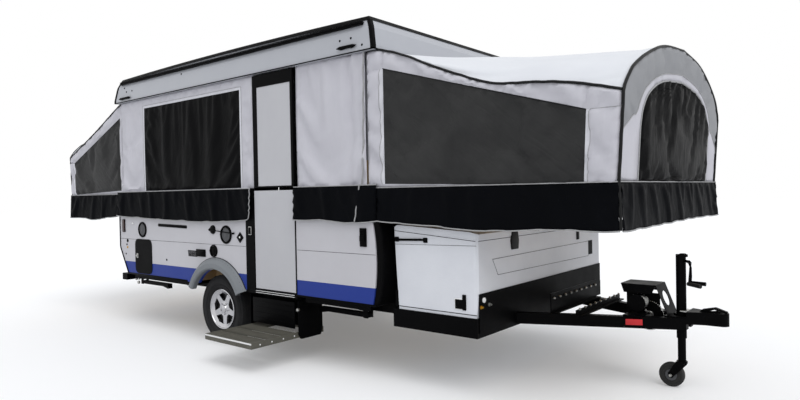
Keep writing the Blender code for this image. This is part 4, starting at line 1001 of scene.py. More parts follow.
@dataclass
class TentWalls:
    """The fabric walls under the roof and the skirts over the box's edge.

    Attributes:
        pitch: size of the cloth's grid cells.
        wall_y: where the fabric hangs, from the middle.
        low: height of the fabric's foot.
        high: height of its head.
        window: (low x, high x) of the large window.
        small_window: (low x, high x) of the small one, on the left.
        window_z: (low z, high z) of both.
        hem: width of the pale strips that frame a window.
        skirt_y: where the skirts hang.
        skirt_top: height of their seam.
        body_rear: X of the box's rear edge.
        body_front: X of its front edge.
    """

    pitch: float = 0.024
    wall_y: float = 1.056
    low: float = 1.362
    high: float = 2.312
    window: tuple[float, float] = (-1.23, 0.345)
    small_window: tuple[float, float] = (0.72, 1.46)
    window_z: tuple[float, float] = (1.380, 2.215)
    hem: float = 0.024
    skirt_y: float = 1.101
    skirt_top: float = 1.373
    body_rear: float = -1.735
    body_front: float = 1.885

    def build(self) -> None:
        """Builds every wall and skirt."""
        self.wall("tent_right_rear", Side.RIGHT, -1.70, 0.537, [self.window], 3.1)
        self.wall("tent_right_front", Side.RIGHT, 1.064, 1.792, [], 8.7)
        self.wall("tent_left", Side.LEFT, -1.70, 1.792, [self.window, self.small_window], 15.2)
        straight = ((0.0, 0.0), (1.0, 0.0))
        turn = ((0.0, 0.0), (0.86, 0.0), (0.93, 0.012), (1.0, 0.040))
        long_turn = ((0.0, 0.0), (0.968, 0.0), (0.985, 0.012), (1.0, 0.040))
        long_hem = ((0.0, 1.132), (0.20, 1.118), (0.46, 1.102), (0.72, 1.095), (0.90, 1.108))
        front_hem = ((0.0, 1.122), (0.40, 1.130), (0.68, 1.115), (1.0, 1.122))
        rear_hem, left_hem = long_hem + ((1.0, 1.120),), long_hem + ((1.0, 1.118),)
        for tag, side, rear, front, hem, seed, round_end, inset in (
                ("right_rear", Side.RIGHT, self.body_rear, 0.52, rear_hem, 2.2, 0.055, straight),
                ("right_front", Side.RIGHT, 1.068, self.body_front, front_hem, 5.9, 0.0, turn),
                ("left", Side.LEFT, self.body_rear, self.body_front, left_hem, 9.4, 0.0, long_turn)):
            y_place = side.value * self.skirt_y
            skirt = Skirt("skirt_" + tag, Body.TRAILER, (rear, y_place), (front, y_place),
                          Vector((0, side.value, 0)), self.skirt_top, hem, seed, round_end, inset)
            skirt.build([skirt.name])
        self.corner_zips()

    def wall(self, name: str, side: Side, rear: float, front: float,
             windows: list[tuple[float, float]], seed: float) -> None:
        """Builds one fabric wall, with its dark windows in pale frames.

        Args:
            name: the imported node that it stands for.
            side: the trailer's side.
            rear: X of its rear edge.
            front: X of its front edge.
            windows: (low x, high x) of each window.
            seed: where its ripples are read.
        """
        length, height = front - rear, self.high - self.low
        edges = [place for low, high in windows for place in (low - self.hem, low, high, high + self.hem)]
        stops = [0.0] + [(place - rear) / length for place in edges] + [1.0]
        columns, marks = steps(stops, self.pitch, length)
        z_low, z_high = self.window_z
        levels_at = (z_low, z_high, z_high + self.hem) if windows else ()
        stops = [0.0] + [(z - self.low) / height for z in levels_at] + [1.0]
        rows, levels = steps(stops, self.pitch, height)
        y_place = side.value * self.wall_y

        def surface(u: float, v: float) -> Vector:
            """The wall's place at a share of its length and height, with the folds at the front zip."""
            x_place = rear + length * u
            fold = 0.016 * math.exp(-((x_place - 1.690) / 0.030) ** 2) * (0.4 + 0.6 * v)
            fold -= 0.012 * math.exp(-((x_place - 1.640) / 0.030) ** 2)
            hang = 0.004 * math.sin(x_place * 17.0 + seed) * math.sin(math.pi * v)
            return Vector((x_place, y_place + side.value * (fold + hang), self.low + height * v))

        def cloth_of(i: int, j: int) -> int:
            """A cell's cloth: 0 for the wall, 1 for a window, 2 for its frame."""
            for k in range(len(windows)):
                frame_low, low, high, frame_high = marks[4 * k + 1:4 * k + 5]
                if low <= i < high and levels[1] <= j < levels[2]:
                    return 1
                if frame_low <= i < frame_high and levels[1] <= j < levels[3]:
                    return 2
            return 0

        panel = ClothPanel(name + "_cloth", columns, rows, surface, Vector((0, side.value, 0)),
                           lambda i, j: j in (0, len(rows) - 1) or i in (0, len(columns) - 1)
                           or (bool(windows) and (i in marks or j in levels[1:3])),
                           grow=0.028, push=0.010, ripple=(9.0, 0.9), seed=seed, finish_of=cloth_of)
        item = panel.build([CANVAS, DARK_SCREEN, HEM_CLOTH], Body.TRAILER, [name], "canvas_grey",
                           reach=0.020, inward=0.010)
        fold_down(item, "roof_lift")
        stitches = Bench()
        for k in range(len(windows)):
            frame_low, frame_high = marks[4 * k + 1], marks[4 * k + 4]
            head = [(i, levels[3]) for i in range(frame_low, frame_high + 1)]
            sides = [[(mark, j) for j in range(levels[1], levels[3] + 1)] for mark in (frame_low, frame_high)]
            for run in (*sides, head):
                stitches.tube(panel.line(run, 0.001), 0.002, sides=6)
        if windows:
            item = stitches.place(name + "_window_stitching", PIPING_GREY)
            fold_down(item, "roof_lift")

    def corner_zips(self) -> None:
        """The zip and its piping at each front corner, from the roof down over the skirt."""
        zip_x = ((1.341, 1.754), (1.682, 1.774), (2.31, 1.791))
        top, foot = 2.305, 1.378
        for side in Side:
            tag = side.tag
            path = []
            for k in range(31):
                height = top + (foot - top) * k / 30
                x_place = along(zip_x, height) + 0.004 * math.sin(height * 31.0)
                path.append(Vector((x_place, side.value * 1.068, height)))
            bench = Bench().tube(path, 0.006, sides=7)
            item = bench.place("tent_corner_zip_" + tag, PIPING_GREY)
            fold_down(item, "roof_lift")
            lower = []
            for k in range(17):
                y_place = side.value * (1.104 + 0.011 * k / 16 + 0.003 * math.sin(k * 1.3))
                height = self.skirt_top + 0.006 - 0.262 * k / 16
                lower.append(Vector((1.764 - 0.044 * k / 16, y_place, height)))
            bench = Bench().tube(lower, 0.005, sides=7)
            bench.place("skirt_corner_piping_" + tag, PIPING_GREY)


@dataclass
class BedTent:
    """One bed's tent and skirt: canopy, two sides with windows, and the arched end.

    Attributes:
        label: front or rear.
        body: what it moves with.
        joint: the slide that brings the bed in.
        way: 1 where the bed reaches forward, -1 where it reaches back.
        root_x: where the tent meets the roof.
        end_x: the far end of the bed.
        piping: (distance from the root, height) of the edge between side and canopy.
        ridge: (distance from the root, height) of the canopy's middle line.
        window: ((distance, low z, high z) at the near and far upright edges).
        seed: where the cloth's ripples are read.
        half: half the tent's width.
        base: height of its foot.
        lean: how far the end leans out at its top.
        pitch: size of the side walls' grid cells.
        hem: width of the pale strips beside a window.
        foot: share of the arch's outline that its upright foot takes.
        spring: height at which the end window's arch begins.
        arch_half: half the end window's width.
    """

    label: str
    body: Body
    joint: str
    way: int
    root_x: float
    end_x: float
    piping: Sequence[Point]
    ridge: Sequence[Point]
    window: tuple[Point, Point]
    seed: float
    half: float = 1.046
    base: float = 1.352
    lean: float = 0.055
    pitch: float = 0.026
    hem: float = 0.024
    foot: float = 0.18
    spring: float = 1.66
    arch_half: float = 0.76

    def build(self) -> None:
        """Builds the tent's pieces."""
        for side in Side:
            self.side_panel(side)
        self.canopy()
        self.end_band()
        self.end_window()
        self.edge_piping()
        self.skirts()

    @property
    def reach(self) -> float:
        """Length of the tent from the roof to its end."""
        return abs(self.end_x - self.root_x)

    def x_of(self, distance: float, height: float) -> float:
        """Finds the X of a point on the tent, whose end leans out with height.

        Args:
            distance: from the root, along the bed.
            height: of the point.

        Returns:
            X in stance metres.
        """
        share = min(1.0, distance / self.reach)
        lean = self.lean * share ** 3 * max(0.0, height - self.base) / (2.2 - self.base)
        return self.root_x + self.way * (distance + lean)

    def edge_z(self, distance: float) -> float:
        """Height of the piped edge."""
        return smooth(self.piping, distance)

    def arch(self, distance: float, across: float) -> Vector:
        """Finds a point of the canopy.

        Args:
            distance: from the root, along the bed.
            across: -1 at the right edge to 1 at the left.

        Returns:
            The point.
        """
        low, high = self.edge_z(distance), smooth(self.ridge, distance)
        sag = 0.012 * math.sin(math.pi * distance / self.reach) * math.cos(across * math.pi / 2)
        height = low + (high - low) * smooth(END_CROWN, abs(across)) - sag
        return Vector((self.x_of(distance, height), self.half * across, height))

    def side_panel(self, side: Side) -> None:
        """Builds a side wall with its window between two pale strips.

        Args:
            side: which of the two.
        """
        (d0, low0, high0), (d1, low1, high1) = self.window
        edges = (d0 - self.hem, d0, d1, d1 + self.hem)
        stops = [0.0] + [place / self.reach for place in edges] + [1.0]
        columns, marks = steps(stops, self.pitch, self.reach)
        levels_at = (0.0, 0.04, 0.86, 1.0)
        rows, levels = steps(levels_at, self.pitch, 0.75)

        def surface(u: float, v: float) -> Vector:
            """The wall's place at a share of its length and height."""
            distance = u * self.reach
            share = min(1.0, max(0.0, (distance - d0) / (d1 - d0)))
            top = self.edge_z(distance)
            high = min(high0 + (high1 - high0) * share, top - 0.03)
            height = along(tuple(zip(levels_at, (self.base, low0 + (low1 - low0) * share, high, top))), v)
            bulge = 0.006 * math.sin(math.pi * v) * math.sin(math.pi * u)
            return Vector((self.x_of(distance, height), side.value * (self.half + bulge), height))

        def cloth_of(i: int, j: int) -> int:
            """A cell's cloth: 0 for the wall, 1 for the window, 2 for a strip beside it."""
            if marks[2] <= i < marks[3] and levels[1] <= j < levels[2]:
                return 1
            return 2 if marks[1] <= i < marks[4] and levels[1] <= j < levels[2] else 0

        name = "bed_tent_%s_%s" % (self.label, side.tag)
        panel = ClothPanel(name, columns, rows, surface, Vector((0, side.value, 0)),
                           lambda i, j: j in (0, len(rows) - 1) or i in (0, len(columns) - 1)
                           or j in levels or i in marks[2:4],
                           grow=0.050, push=0.034, ripple=(6.5, 0.9), seed=self.seed + side.value,
                           fold_way=Vector((self.way * 0.72, 0, -0.69)), finish_of=cloth_of)
        item = panel.build([CANVAS, SCREEN, HEM_CLOTH], self.body, slot="canvas_grey", reach=0.020,
                           inward=0.010)
        height = sum(self.edge_z(self.reach * k / 20) - self.base for k in range(21)) / 21
        fold_down(item, self.joint)
        binding = panel.line([(i, levels[2]) for i in range(marks[2], marks[3] + 1)], 0.002)
        self.fold(Bench().tube(binding, 0.0035, sides=6), name + "_window_head", PIPING_BLACK)
        seams = Bench()
        runs = [[(mark, j) for j in range(levels[1], levels[2] + 1)] for mark in (marks[1], marks[4])]
        runs.append([(i, levels[2]) for i in range(marks[4], len(columns))])
        for run in runs:
            seams.tube(panel.line(run, 0.001), 0.002, sides=6)
        self.fold(seams, name + "_seams", PIPING_GREY)

    def canopy(self) -> None:
        """The white top sheet."""
        columns, _ = steps([0.0, 1.0], 0.045, self.reach)
        rows, _ = steps([0.0, 1.0], 0.045, 2.6)

        def surface(u: float, v: float) -> Vector:
            """The canopy's place at a share of its length and width."""
            return self.arch(u * self.reach, max(-1.0, min(1.0, -math.cos(math.pi * v))))

        panel = ClothPanel("bed_canopy_" + self.label, columns, rows, surface, Vector((0, 0, 1)),
                           lambda i, j: i in (0, len(columns) - 1) or j in (0, len(rows) - 1),
                           grow=0.004, push=0.004, ripple=(2.0, 2.0), seed=self.seed + 7.0, gravity=0.6)
        item = panel.build([CANOPY_CLOTH], self.body, ["bed_tent_" + self.label], "canvas_grey",
                           reach=0.016)
        self.sheet_area(surface)
        fold_down(item, self.joint)

    @staticmethod
    def sheet_area(surface: Callable[[float, float], Vector], count: int = 32) -> float:
        """Measures a curved sheet on a grid of its points.

        Args:
            surface: gives its points at shares from 0 to 1.
            count: cells each way.

        Returns:
            Its area.
        """
        total = 0.0
        for i in range(count):
            for j in range(count):
                a, b = surface(i / count, j / count), surface((i + 1) / count, j / count)
                c, d = surface((i + 1) / count, (j + 1) / count), surface(i / count, (j + 1) / count)
                total += (c - a).cross(d - b).length / 2
        return total

    def end_outline(self, share: float) -> tuple[float, float]:
        """Reads the end arch, from the right foot over the top to the left foot.

        Args:
            share: place along it.

        Returns:
            The point as (y, z).
        """
        nearer = min(share, 1.0 - share)
        if nearer < self.foot:
            height = self.base + (self.edge_z(self.reach) - self.base) * nearer / self.foot
            return (math.copysign(self.half, share - 0.5), height)
        point = self.arch(self.reach, -math.cos(math.pi * (share - self.foot) / (1.0 - 2 * self.foot)))
        return (point.y, point.z)

    def window_outline(self, share: float) -> tuple[float, float]:
        """Reads the end window's arch, on the same shares as end_outline.

        Args:
            share: place along it.

        Returns:
            The point as (y, z).
        """
        nearer, low = min(share, 1.0 - share), self.base + 0.006
        if nearer < self.foot:
            height = low + (self.spring - low) * nearer / self.foot
            return (math.copysign(self.arch_half, share - 0.5), height)
        y_place = -self.arch_half * math.cos(math.pi * (share - self.foot) / (1.0 - 2 * self.foot))
        return (y_place, smooth(ARCH_WINDOW, abs(y_place)))

    def on_end(self, y_place: float, z_place: float) -> Vector:
        """A point on the end sheet, which bulges a little in the middle."""
        bulge = 0.012 * (1.0 - (y_place / self.half) ** 2)
        return Vector((self.x_of(self.reach, z_place) + self.way * bulge, y_place, z_place))

    def end_band(self) -> None:
        """The arched end: pale cloth beside the window, and a darker hood over it."""
        count, inner, outer = 96, 2, 5
        columns = [index / count for index in range(count + 1)]
        rows = [index / (inner + outer) for index in range(inner + outer + 1)]
        seam_row = inner / (inner + outer)

        def band(u: float, v: float) -> Vector:
            """The band's place at a share of the arch and of the way from window to edge."""
            (y0, z0), (y1, z1) = self.window_outline(u), self.end_outline(u)
            seam = along(SEAM_SHARE, min(u, 1.0 - u))
            if v < seam_row:
                share = seam * v / seam_row
            else:
                share = seam + (1.0 - seam) * (v - seam_row) / (1.0 - seam_row)
            return self.on_end(y0 + (y1 - y0) * share, z0 + (z1 - z0) * share)

        name = "bed_end_%s_band" % self.label
        frame = ClothPanel(name, columns, rows, band, Vector((self.way, 0, 0)),
                           lambda i, j: j in (0, inner, len(rows) - 1) or i in (0, count),
                           grow=0.02, push=0.006, ripple=(5.0, 5.0), seed=self.seed + 21.0,
                           finish_of=lambda i, j: 1 if j >= inner else 0)
        item = frame.build([CANVAS, HOOD_CLOTH], self.body, slot="canvas_grey", reach=0.012)
        self.sheet_area(band, 64)
        fold_down(item, self.joint)
        seams = Bench().tube(frame.line([(i, 0) for i in range(count + 1)], 0.002), 0.005, sides=7)
        seams.tube(frame.line([(i, inner) for i in range(8, count - 7)], 0.002), 0.0028, sides=6)
        self.fold(seams, "bed_end_%s_seams" % self.label, PIPING_GREY)

    def end_window(self) -> None:
        """The dark window in the arched end."""
        last_column, last_row = 34, 48
        columns = [index / last_column for index in range(last_column + 1)]
        rows = [index / last_row for index in range(last_row)] + [0.995]

        def pane(u: float, v: float) -> Vector:
            """The pane's place at a share of its width, from the left, and of its height."""
            y_place, z_place = self.window_outline(v / 2)
            return self.on_end(y_place * (1.0 - 2.0 * u), z_place)

        name = "bed_end_%s_window" % self.label
        window = ClothPanel(name, columns, rows, pane, Vector((self.way, 0, 0)),
                            lambda i, j: i in (0, last_column) or j in (0, last_row), grow=0.040,
                            push=0.014, ripple=(10.0, 2.0), seed=self.seed + 33.0,
                            fold_way=Vector((0, 0.35, 0.94)))
        item = window.build([DARK_SCREEN], self.body, slot="canvas_grey", reach=0.022, inward=0.010)
        self.sheet_area(pane, 48)
        fold_down(item, self.joint)

    def edge_piping(self) -> None:
        """Black piping along the canopy's edges, round the end arch and down its corners."""
        for side in Side:
            path = []
            for k in range(81):
                point = self.arch(self.reach * k / 80, float(side.value))
                waver = 0.003 * noise.noise(Vector((k * 0.35, side.value, self.seed)))
                path.append(point + Vector((0, side.value * 0.004, 0.002 + waver)))
            name = "bed_%s_edge_piping_%s" % (self.label, side.tag)
            self.fold(Bench().tube(path, 0.008, sides=8), name, PIPING_BLACK)
        ring = []
        for k in range(121):
            y_place, z_place = self.end_outline(k / 120)
            waver = 0.004 * noise.noise(Vector((k * 0.4, self.seed, 2.0)))
            ring.append(Vector((self.x_of(self.reach, z_place) + self.way * 0.006, y_place + waver, z_place)))
        self.fold(Bench().tube(ring, 0.009, sides=8), "bed_%s_arch_piping" % self.label, PIPING_BLACK)

    def skirts(self) -> None:
        """The black skirt round three sides of the bed, with piping down its corners."""
        start, end = self.root_x + self.way * 0.075, self.end_x + self.way * 0.010
        outer = self.half + 0.008
        hem = ((0.0, 1.125), (0.22, 1.108), (0.52, 1.082), (0.76, 1.098), (1.0, 1.092))
        end_hem = ((0.0, 1.092), (0.35, 1.100), (0.7, 1.106), (1.0, 1.098))
        name = "bed_skirt_" + self.label
        deck = "bed_" + self.label
        parts = []
        for side in Side:
            facing = Vector((0, side.value, 0))
            skirt = Skirt("%s_%s" % (name, side.tag), self.body, (start, side.value * outer),
                          (end, side.value * outer), facing, self.base, hem, self.seed + 50.0 + side.value)
            parts += skirt.build([name] if side is Side.RIGHT else [], deck)
        skirt = Skirt(name + "_end", self.body, (end, -outer), (end, outer), Vector((self.way, 0, 0)),
                      self.base, end_hem, self.seed + 57.0)
        parts += skirt.build([], deck)
        corners = Bench()
        for side in Side:
            path = [(end + self.way * 0.009 * k / 8, side.value * (outer + 0.009 * k / 8),
                     self.base + 0.004 + (1.090 - self.base) * k / 8) for k in range(9)]
            corners.tube(path, 0.008, sides=8)
        parts.append(corners.place(name + "_corner_piping", PIPING_BLACK, self.body))
        for part in parts:
            fold_down(part, self.joint)

    def fold(self, bench: Bench, name: str, finish: Finish) -> None:
        """Places a piece of the tent's piping on the bed's body."""
        fold_down(bench.place(name, finish, self.body), self.joint)


FRONT_PIPING = ((0.0, 2.308), (0.10, 2.308), (0.34, 2.233), (0.57, 2.127), (0.785, 2.040), (1.0, 1.963),
                (1.30, 1.930), (1.45, 1.910), (1.63, 1.870), (1.76, 1.832))
FRONT_RIDGE = ((0.0, 2.306), (0.12, 2.309), (0.62, 2.313), (0.97, 2.276), (1.665, 2.205), (1.76, 2.200))
REAR_PIPING = ((0.0, 2.300), (0.06, 2.290), (0.60, 2.055), (1.204, 1.812), (1.242, 1.797))
REAR_RIDGE = ((0.0, 2.306), (0.10, 2.308), (0.44, 2.306), (0.75, 2.270), (1.242, 2.190))
# Height of the canopy's section at a share of the half width.
END_CROWN = ((0.0, 1.0), (0.365, 0.905), (0.60, 0.73), (0.866, 0.405), (0.97, 0.14), (1.0, 0.0))
# Height of the end window's arch at a distance from the middle.
ARCH_WINDOW = ((0.0, 1.99), (0.15, 1.98), (0.43, 1.945), (0.65, 1.855), (0.74, 1.75), (0.76, 1.66))
# Where the hood's seam lies between window and piping, at a share of the arch's length.
SEAM_SHARE = ((0.0, 0.97), (0.10, 0.97), (0.14, 0.63), (0.18, 0.36), (0.22, 0.20), (0.30, 0.19), (0.5, 0.24))


# (radius, height) of a screw head on the roof.
SCREW_HEAD = ((0.0, 0.005), (0.004, 0.0045), (0.0085, 0.002), (0.0085, -0.003))
FORWARD, LEFTWARD, UP = (1, 0, 0), (0, 1, 0), (0, 0, 1)


@dataclass
class RoofTrim:
    """Trim, handles and screws on the moulded roof.

    Attributes:
        low: height of the roof's lower edge.
        eaves: height of its upper edge.
        rear: X of the rear face at the foot.
        front: X of the front face at the foot.
        half: half the roof's width at the foot.
        taper: how far the skin leans in.
    """

    low: float = 2.31
    eaves: float = 2.55
    rear: float = -1.765
    front: float = 1.905
    half: float = 1.09
    taper: float = 0.06

    def corner(self, front: bool, side: Side, height: float) -> Vector:
        """A corner of the roof's outer skin at a height."""
        levels = ((self.low, 0.0), (self.low + 0.03, 0.0), (self.low + 0.16, 0.45),
                  (self.eaves - 0.025, 0.92), (self.eaves, 1.25))
        inset = self.taper * along(levels, height)
        x_place = self.front - inset if front else self.rear + inset * 1.3
        return Vector((x_place, side.value * (self.half - inset * 0.6), height))

    def crown(self, x_place: float) -> float:
        """How far the upper edge rises at an X, as the roof bows lengthways."""
        share = 2.0 * (x_place - self.rear) / (self.front - self.rear) - 1.0
        return 0.0225 * (1.0 - share * share)

    def build(self) -> None:
        """Builds the trim."""
        top = self.eaves
        self.band("roof_top_trim", ((top - 0.025, 0.0), (top - 0.025, 0.004), (top + 0.002, 0.0045),
                                    (top + 0.005, 0.002), (top + 0.005, -0.022), (top - 0.002, -0.022)), True)
        self.band("roof_foot_trim", ((self.low, -0.001), (self.low, 0.004), (self.low + 0.008, 0.004),
                                     (self.low + 0.008, -0.001)), False)
        self.corners()
        self.rail()
        self.handles()

    def band(self, name: str, section: Sequence[Point], bowed: bool, count: int = 24) -> None:
        """Sweeps a section of (height, distance off the skin) round the roof."""
        rings = []
        ends = [(False, Side.RIGHT), (True, Side.RIGHT), (True, Side.LEFT), (False, Side.LEFT)]
        for (front, side), (front_2, side_2) in zip(ends, ends[1:] + ends[:1]):
            for index in range(count):
                ring = []
                for height, off in section:
                    a = self.corner(front, side, height) + self.away(front, side) * off
                    b = self.corner(front_2, side_2, height) + self.away(front_2, side_2) * off
                    point = a.lerp(b, index / count)
                    point.z += self.crown(point.x) if bowed else 0.0
                    ring.append(point)
                rings.append(ring)
        Bench().loft(rings, closed=True).place(name, TRIM, Body.ROOF)

    @staticmethod
    def away(front: bool, side: Side) -> Vector:
        """Outward at a corner, by one along each of its two faces."""
        return Vector((1 if front else -1, side.value, 0))

    def corners(self) -> None:
        """Black angle strips up the four corners."""
        shape = ((-0.004, -0.004), (0.025, -0.004), (0.025, 0.002), (0.002, 0.002), (0.002, 0.025),
                 (-0.004, 0.025))
        for front in (True, False):
            for side in Side:
                away = self.away(front, side)
                rings = []
                for k in range(9):
                    corner = self.corner(front, side, self.low + (self.eaves - 0.022 - self.low) * k / 8)
                    rings.append([corner - Vector((away.x * a, away.y * b, 0)) for a, b in shape])
                name = "roof_corner_%s_%s" % ("front" if front else "rear", side.tag)
                Bench().loft(rings).place(name, TRIM, Body.ROOF)

    def rail(self) -> None:
        """Two ribs along the awning rail."""
        bench = Bench()
        for height in (2.500, 2.511, 2.521):
            bench.rod((-1.650, -1.0885, height), (1.790, -1.0885, height), 0.0030, sides=8)
        bench.place("awning_rail_ribs", TRIM, Body.ROOF)

    def handles(self) -> None:
        """The roof's hold-down handles and its screws."""
        screws = ((1.576, 2.417), (1.686, 2.419), (1.799, 2.353), (-1.584, 2.458), (-1.532, 2.413),
                  (-1.418, 2.413), (-0.506, 2.461))
        for side in Side:
            out = Vector((0, side.value, 0))
            bench = Bench()
            for rear, front, height in ((1.559, 1.751, 2.358), (-1.655, -1.416, 2.347)):
                skin = abs(self.corner(True, side, height).y) + 0.012
                a, b = Vector((rear, side.value * skin, height)), Vector((front, side.value * skin, height))
                grip_a, grip_b = a.lerp(b, 0.17), a.lerp(b, 0.83)
                bench.rod(grip_a, grip_b, 0.012, sides=14)
                bench.rod(grip_a, a, 0.012, 0.003, 14)
                bench.rod(grip_b, b, 0.012, 0.003, 14)
                for point in (a.lerp(b, 0.24), a.lerp(b, 0.76)):
                    bench.box(point - out * 0.014 - Vector((0.013, 0.003, 0.013)),
                              point - out * 0.002 + Vector((0.013, 0.003, 0.013)), 0.002)
            for x_place, height in screws:
                skin = abs(self.corner(True, side, height).y)
                bench.lathe(SCREW_HEAD, (x_place, side.value * skin, height), out, 14)
            bench.place("roof_handles_%s" % side.tag, TRIM, Body.ROOF)


@dataclass
class SideFittings:
    """Ports, vents, lamps and catches on the box's door side.

    Attributes:
        face: Y of the siding's outer face.
    """

    face: float = -1.080

    def build(self) -> None:
        """Builds every fitting."""
        self.ports()
        self.vents()
        self.lamps()
        self.catches()
        for side in Side:
            self.trim(side)

    def turned(self, bench: Bench, x_place: float, z_place: float, profile: Sequence[Point]) -> Bench:
        """Adds a turned shape whose axis stands out of the side."""
        return bench.lathe(profile, (x_place, self.face, z_place), (0, -1, 0), 40)

    def dome(self, bench: Bench, x_place: float, z_place: float, radius: float,
             height: float = 0.006) -> Bench:
        """Adds a low screw head."""
        profile = ((0.0, height), (radius * 0.5, height * 0.92), (radius, height * 0.35), (radius, -0.001))
        return self.turned(bench, x_place, z_place, profile)

    def ports(self) -> None:
        """Round cable and water ports: a rim with a lid."""
        rims = Bench()
        lids = ((-1.269, 0.988, 0.078, CAP_GREY), (0.150, 0.977, 0.080, CAP_GREY),
                (-0.038, 0.827, 0.055, TRIM))
        for x_place, z_place, radius, lid in lids:
            self.turned(rims, x_place, z_place,
                        ((radius * 0.78, -0.001), (radius * 0.79, 0.010), (radius * 0.84, 0.013),
                         (radius * 0.94, 0.012), (radius, 0.007), (radius, -0.001)))
            cap = self.turned(Bench(), x_place, z_place,
                              ((0.0, 0.0075), (radius * 0.30, 0.0075), (radius * 0.34, 0.006),
                               (radius * 0.70, 0.006), (radius * 0.74, 0.003), (radius * 0.77, -0.001)))
            cap.place("port_lid_%d" % round(radius * 1000), lid)
            self.dome(rims, x_place - radius * 0.9, z_place, 0.009, 0.014)
        self.turned(rims, -0.046, 1.017, ((0.0, 0.012), (0.030, 0.012), (0.037, 0.009), (0.041, -0.001)))
        rims.box((-0.100, self.face - 0.008, 1.003), (-0.080, self.face + 0.001, 1.029), 0.003)
        rims.place("port_rims", TRIM)

    def vents(self) -> None:
        """The long slot vent and the small louvred one."""
        bench = Bench()
        back, front = self.face + 0.001, self.face - 0.006
        bench.plate(rounded((-0.252, 0.252), (-0.014, 0.014), 0.010),
                    ((-0.714, back, 1.036), (1, 0, -0.0198), UP), 0.006, 0.0015)
        for drop in (-0.006, 0.0, 0.006):
            bench.rod((-0.955, front, 1.0408 + drop), (-0.473, front, 1.0312 + drop), 0.0018, sides=8)
        outline = rounded((-0.318, -0.166), (0.766, 0.833), 0.006)
        bench.plate(outline, ((0, back, 0), FORWARD, UP), 0.004, 0.001)
        for k in range(5):
            low, high = 0.775 + 0.0115 * k, 0.775 + 0.0115 * k + 0.009
            bench.plate(((-0.310, low), (-0.174, low), (-0.174, high), (-0.310, high)),
                        ((0, self.face - 0.003, 0), FORWARD, (0, -0.10, 1)), 0.005)
        bench.place("side_vents", TRIM)

    def lamps(self) -> None:
        """The tail lamp, the small white lamp and the marker dots."""
        face = self.face
        base = Bench().box((-1.675, face - 0.006, 0.954), (-1.623, face + 0.001, 1.089), 0.003)
        dots = ((-1.582, 0.866, 0.018), (-1.599, 0.825, 0.010), (-1.621, 0.728, 0.009),
                (-0.826, 0.705, 0.010))
        for x_place, z_place, radius in dots:
            self.dome(base, x_place, z_place, radius)
        base.plate(((-0.045, 0), (0, -0.045), (0.045, 0), (0, 0.045)),
                   ((0.350, face + 0.001, 0.959), FORWARD, UP), 0.010, 0.003)
        base.place("lamp_bases", TRIM)
        lens = Bench().box((-1.671, face - 0.016, 0.958), (-1.627, face - 0.004, 1.085), 0.005, 3)
        for k in range(9):
            z_place = 0.966 + 0.014 * k
            lens.rod((-1.667, face - 0.0155, z_place), (-1.631, face - 0.0155, z_place), 0.0016, sides=6)
        lens.place("tail_lamp_lens_right", LENS_RED)
        white = Bench().box((-1.475, face - 0.009, 1.040), (-1.445, face + 0.001, 1.058), 0.003, 3)
        self.turned(white, 0.352, 0.961, ((0.0, 0.014), (0.006, 0.0125), (0.009, 0.009), (0.009, 0.001)))
        white.place("side_lamps_white", WHITE_PAINT)
        amber = self.dome(Bench(), -1.585, 0.797, 0.012, 0.008)
        amber.place("side_marker_amber", LENS_AMBER)

    def catches(self) -> None:
        """The strap catch at the front, the stile's plate, the hatch's catch and a stay rod."""
        face = self.face
        rod = Bench().rod((-0.10, face - 0.011, 1.015), (0.275, face - 0.011, 0.990), 0.004, sides=10)
        for x_place, z_place in ((-0.085, 1.014), (0.085, 1.0027), (0.260, 0.991)):
            rod.box((x_place - 0.006, face - 0.017, z_place - 0.008),
                    (x_place + 0.006, face + 0.001, z_place + 0.008), 0.002)
        rod.box((1.739, face - 0.010, 0.938), (1.802, face + 0.001, 1.070), 0.004)
        rod.box((1.747, face - 0.022, 0.975), (1.794, face - 0.008, 1.018), 0.004)
        rod.tube([(1.753, face - 0.014, 1.015), (1.753, face - 0.020, 1.055), (1.788, face - 0.020, 1.055),
                  (1.788, face - 0.014, 1.015)], 0.003, sides=8)
        rod.place("side_catches", TRIM)
        plate = Bench().box((0.472, face - 0.010, 0.985), (0.512, face - 0.003, 1.055), 0.002)
        plate.place("stile_plate_rim", ZINC)
        inner = Bench().box((0.477, face - 0.013, 0.991), (0.507, face - 0.008, 1.049), 0.002)
        inner.place("stile_plate", TRIM)
        catch = Bench().box((-1.393, face - 0.008, 0.695), (-1.363, face - 0.003, 0.743), 0.003)
        catch.head((-1.378, face, 0.719), (0, -1, 0), 0.008, 0.011, 0.020, 0.016, 0.004, 24)
        catch.place("hatch_catch", ZINC, Body.HATCH)

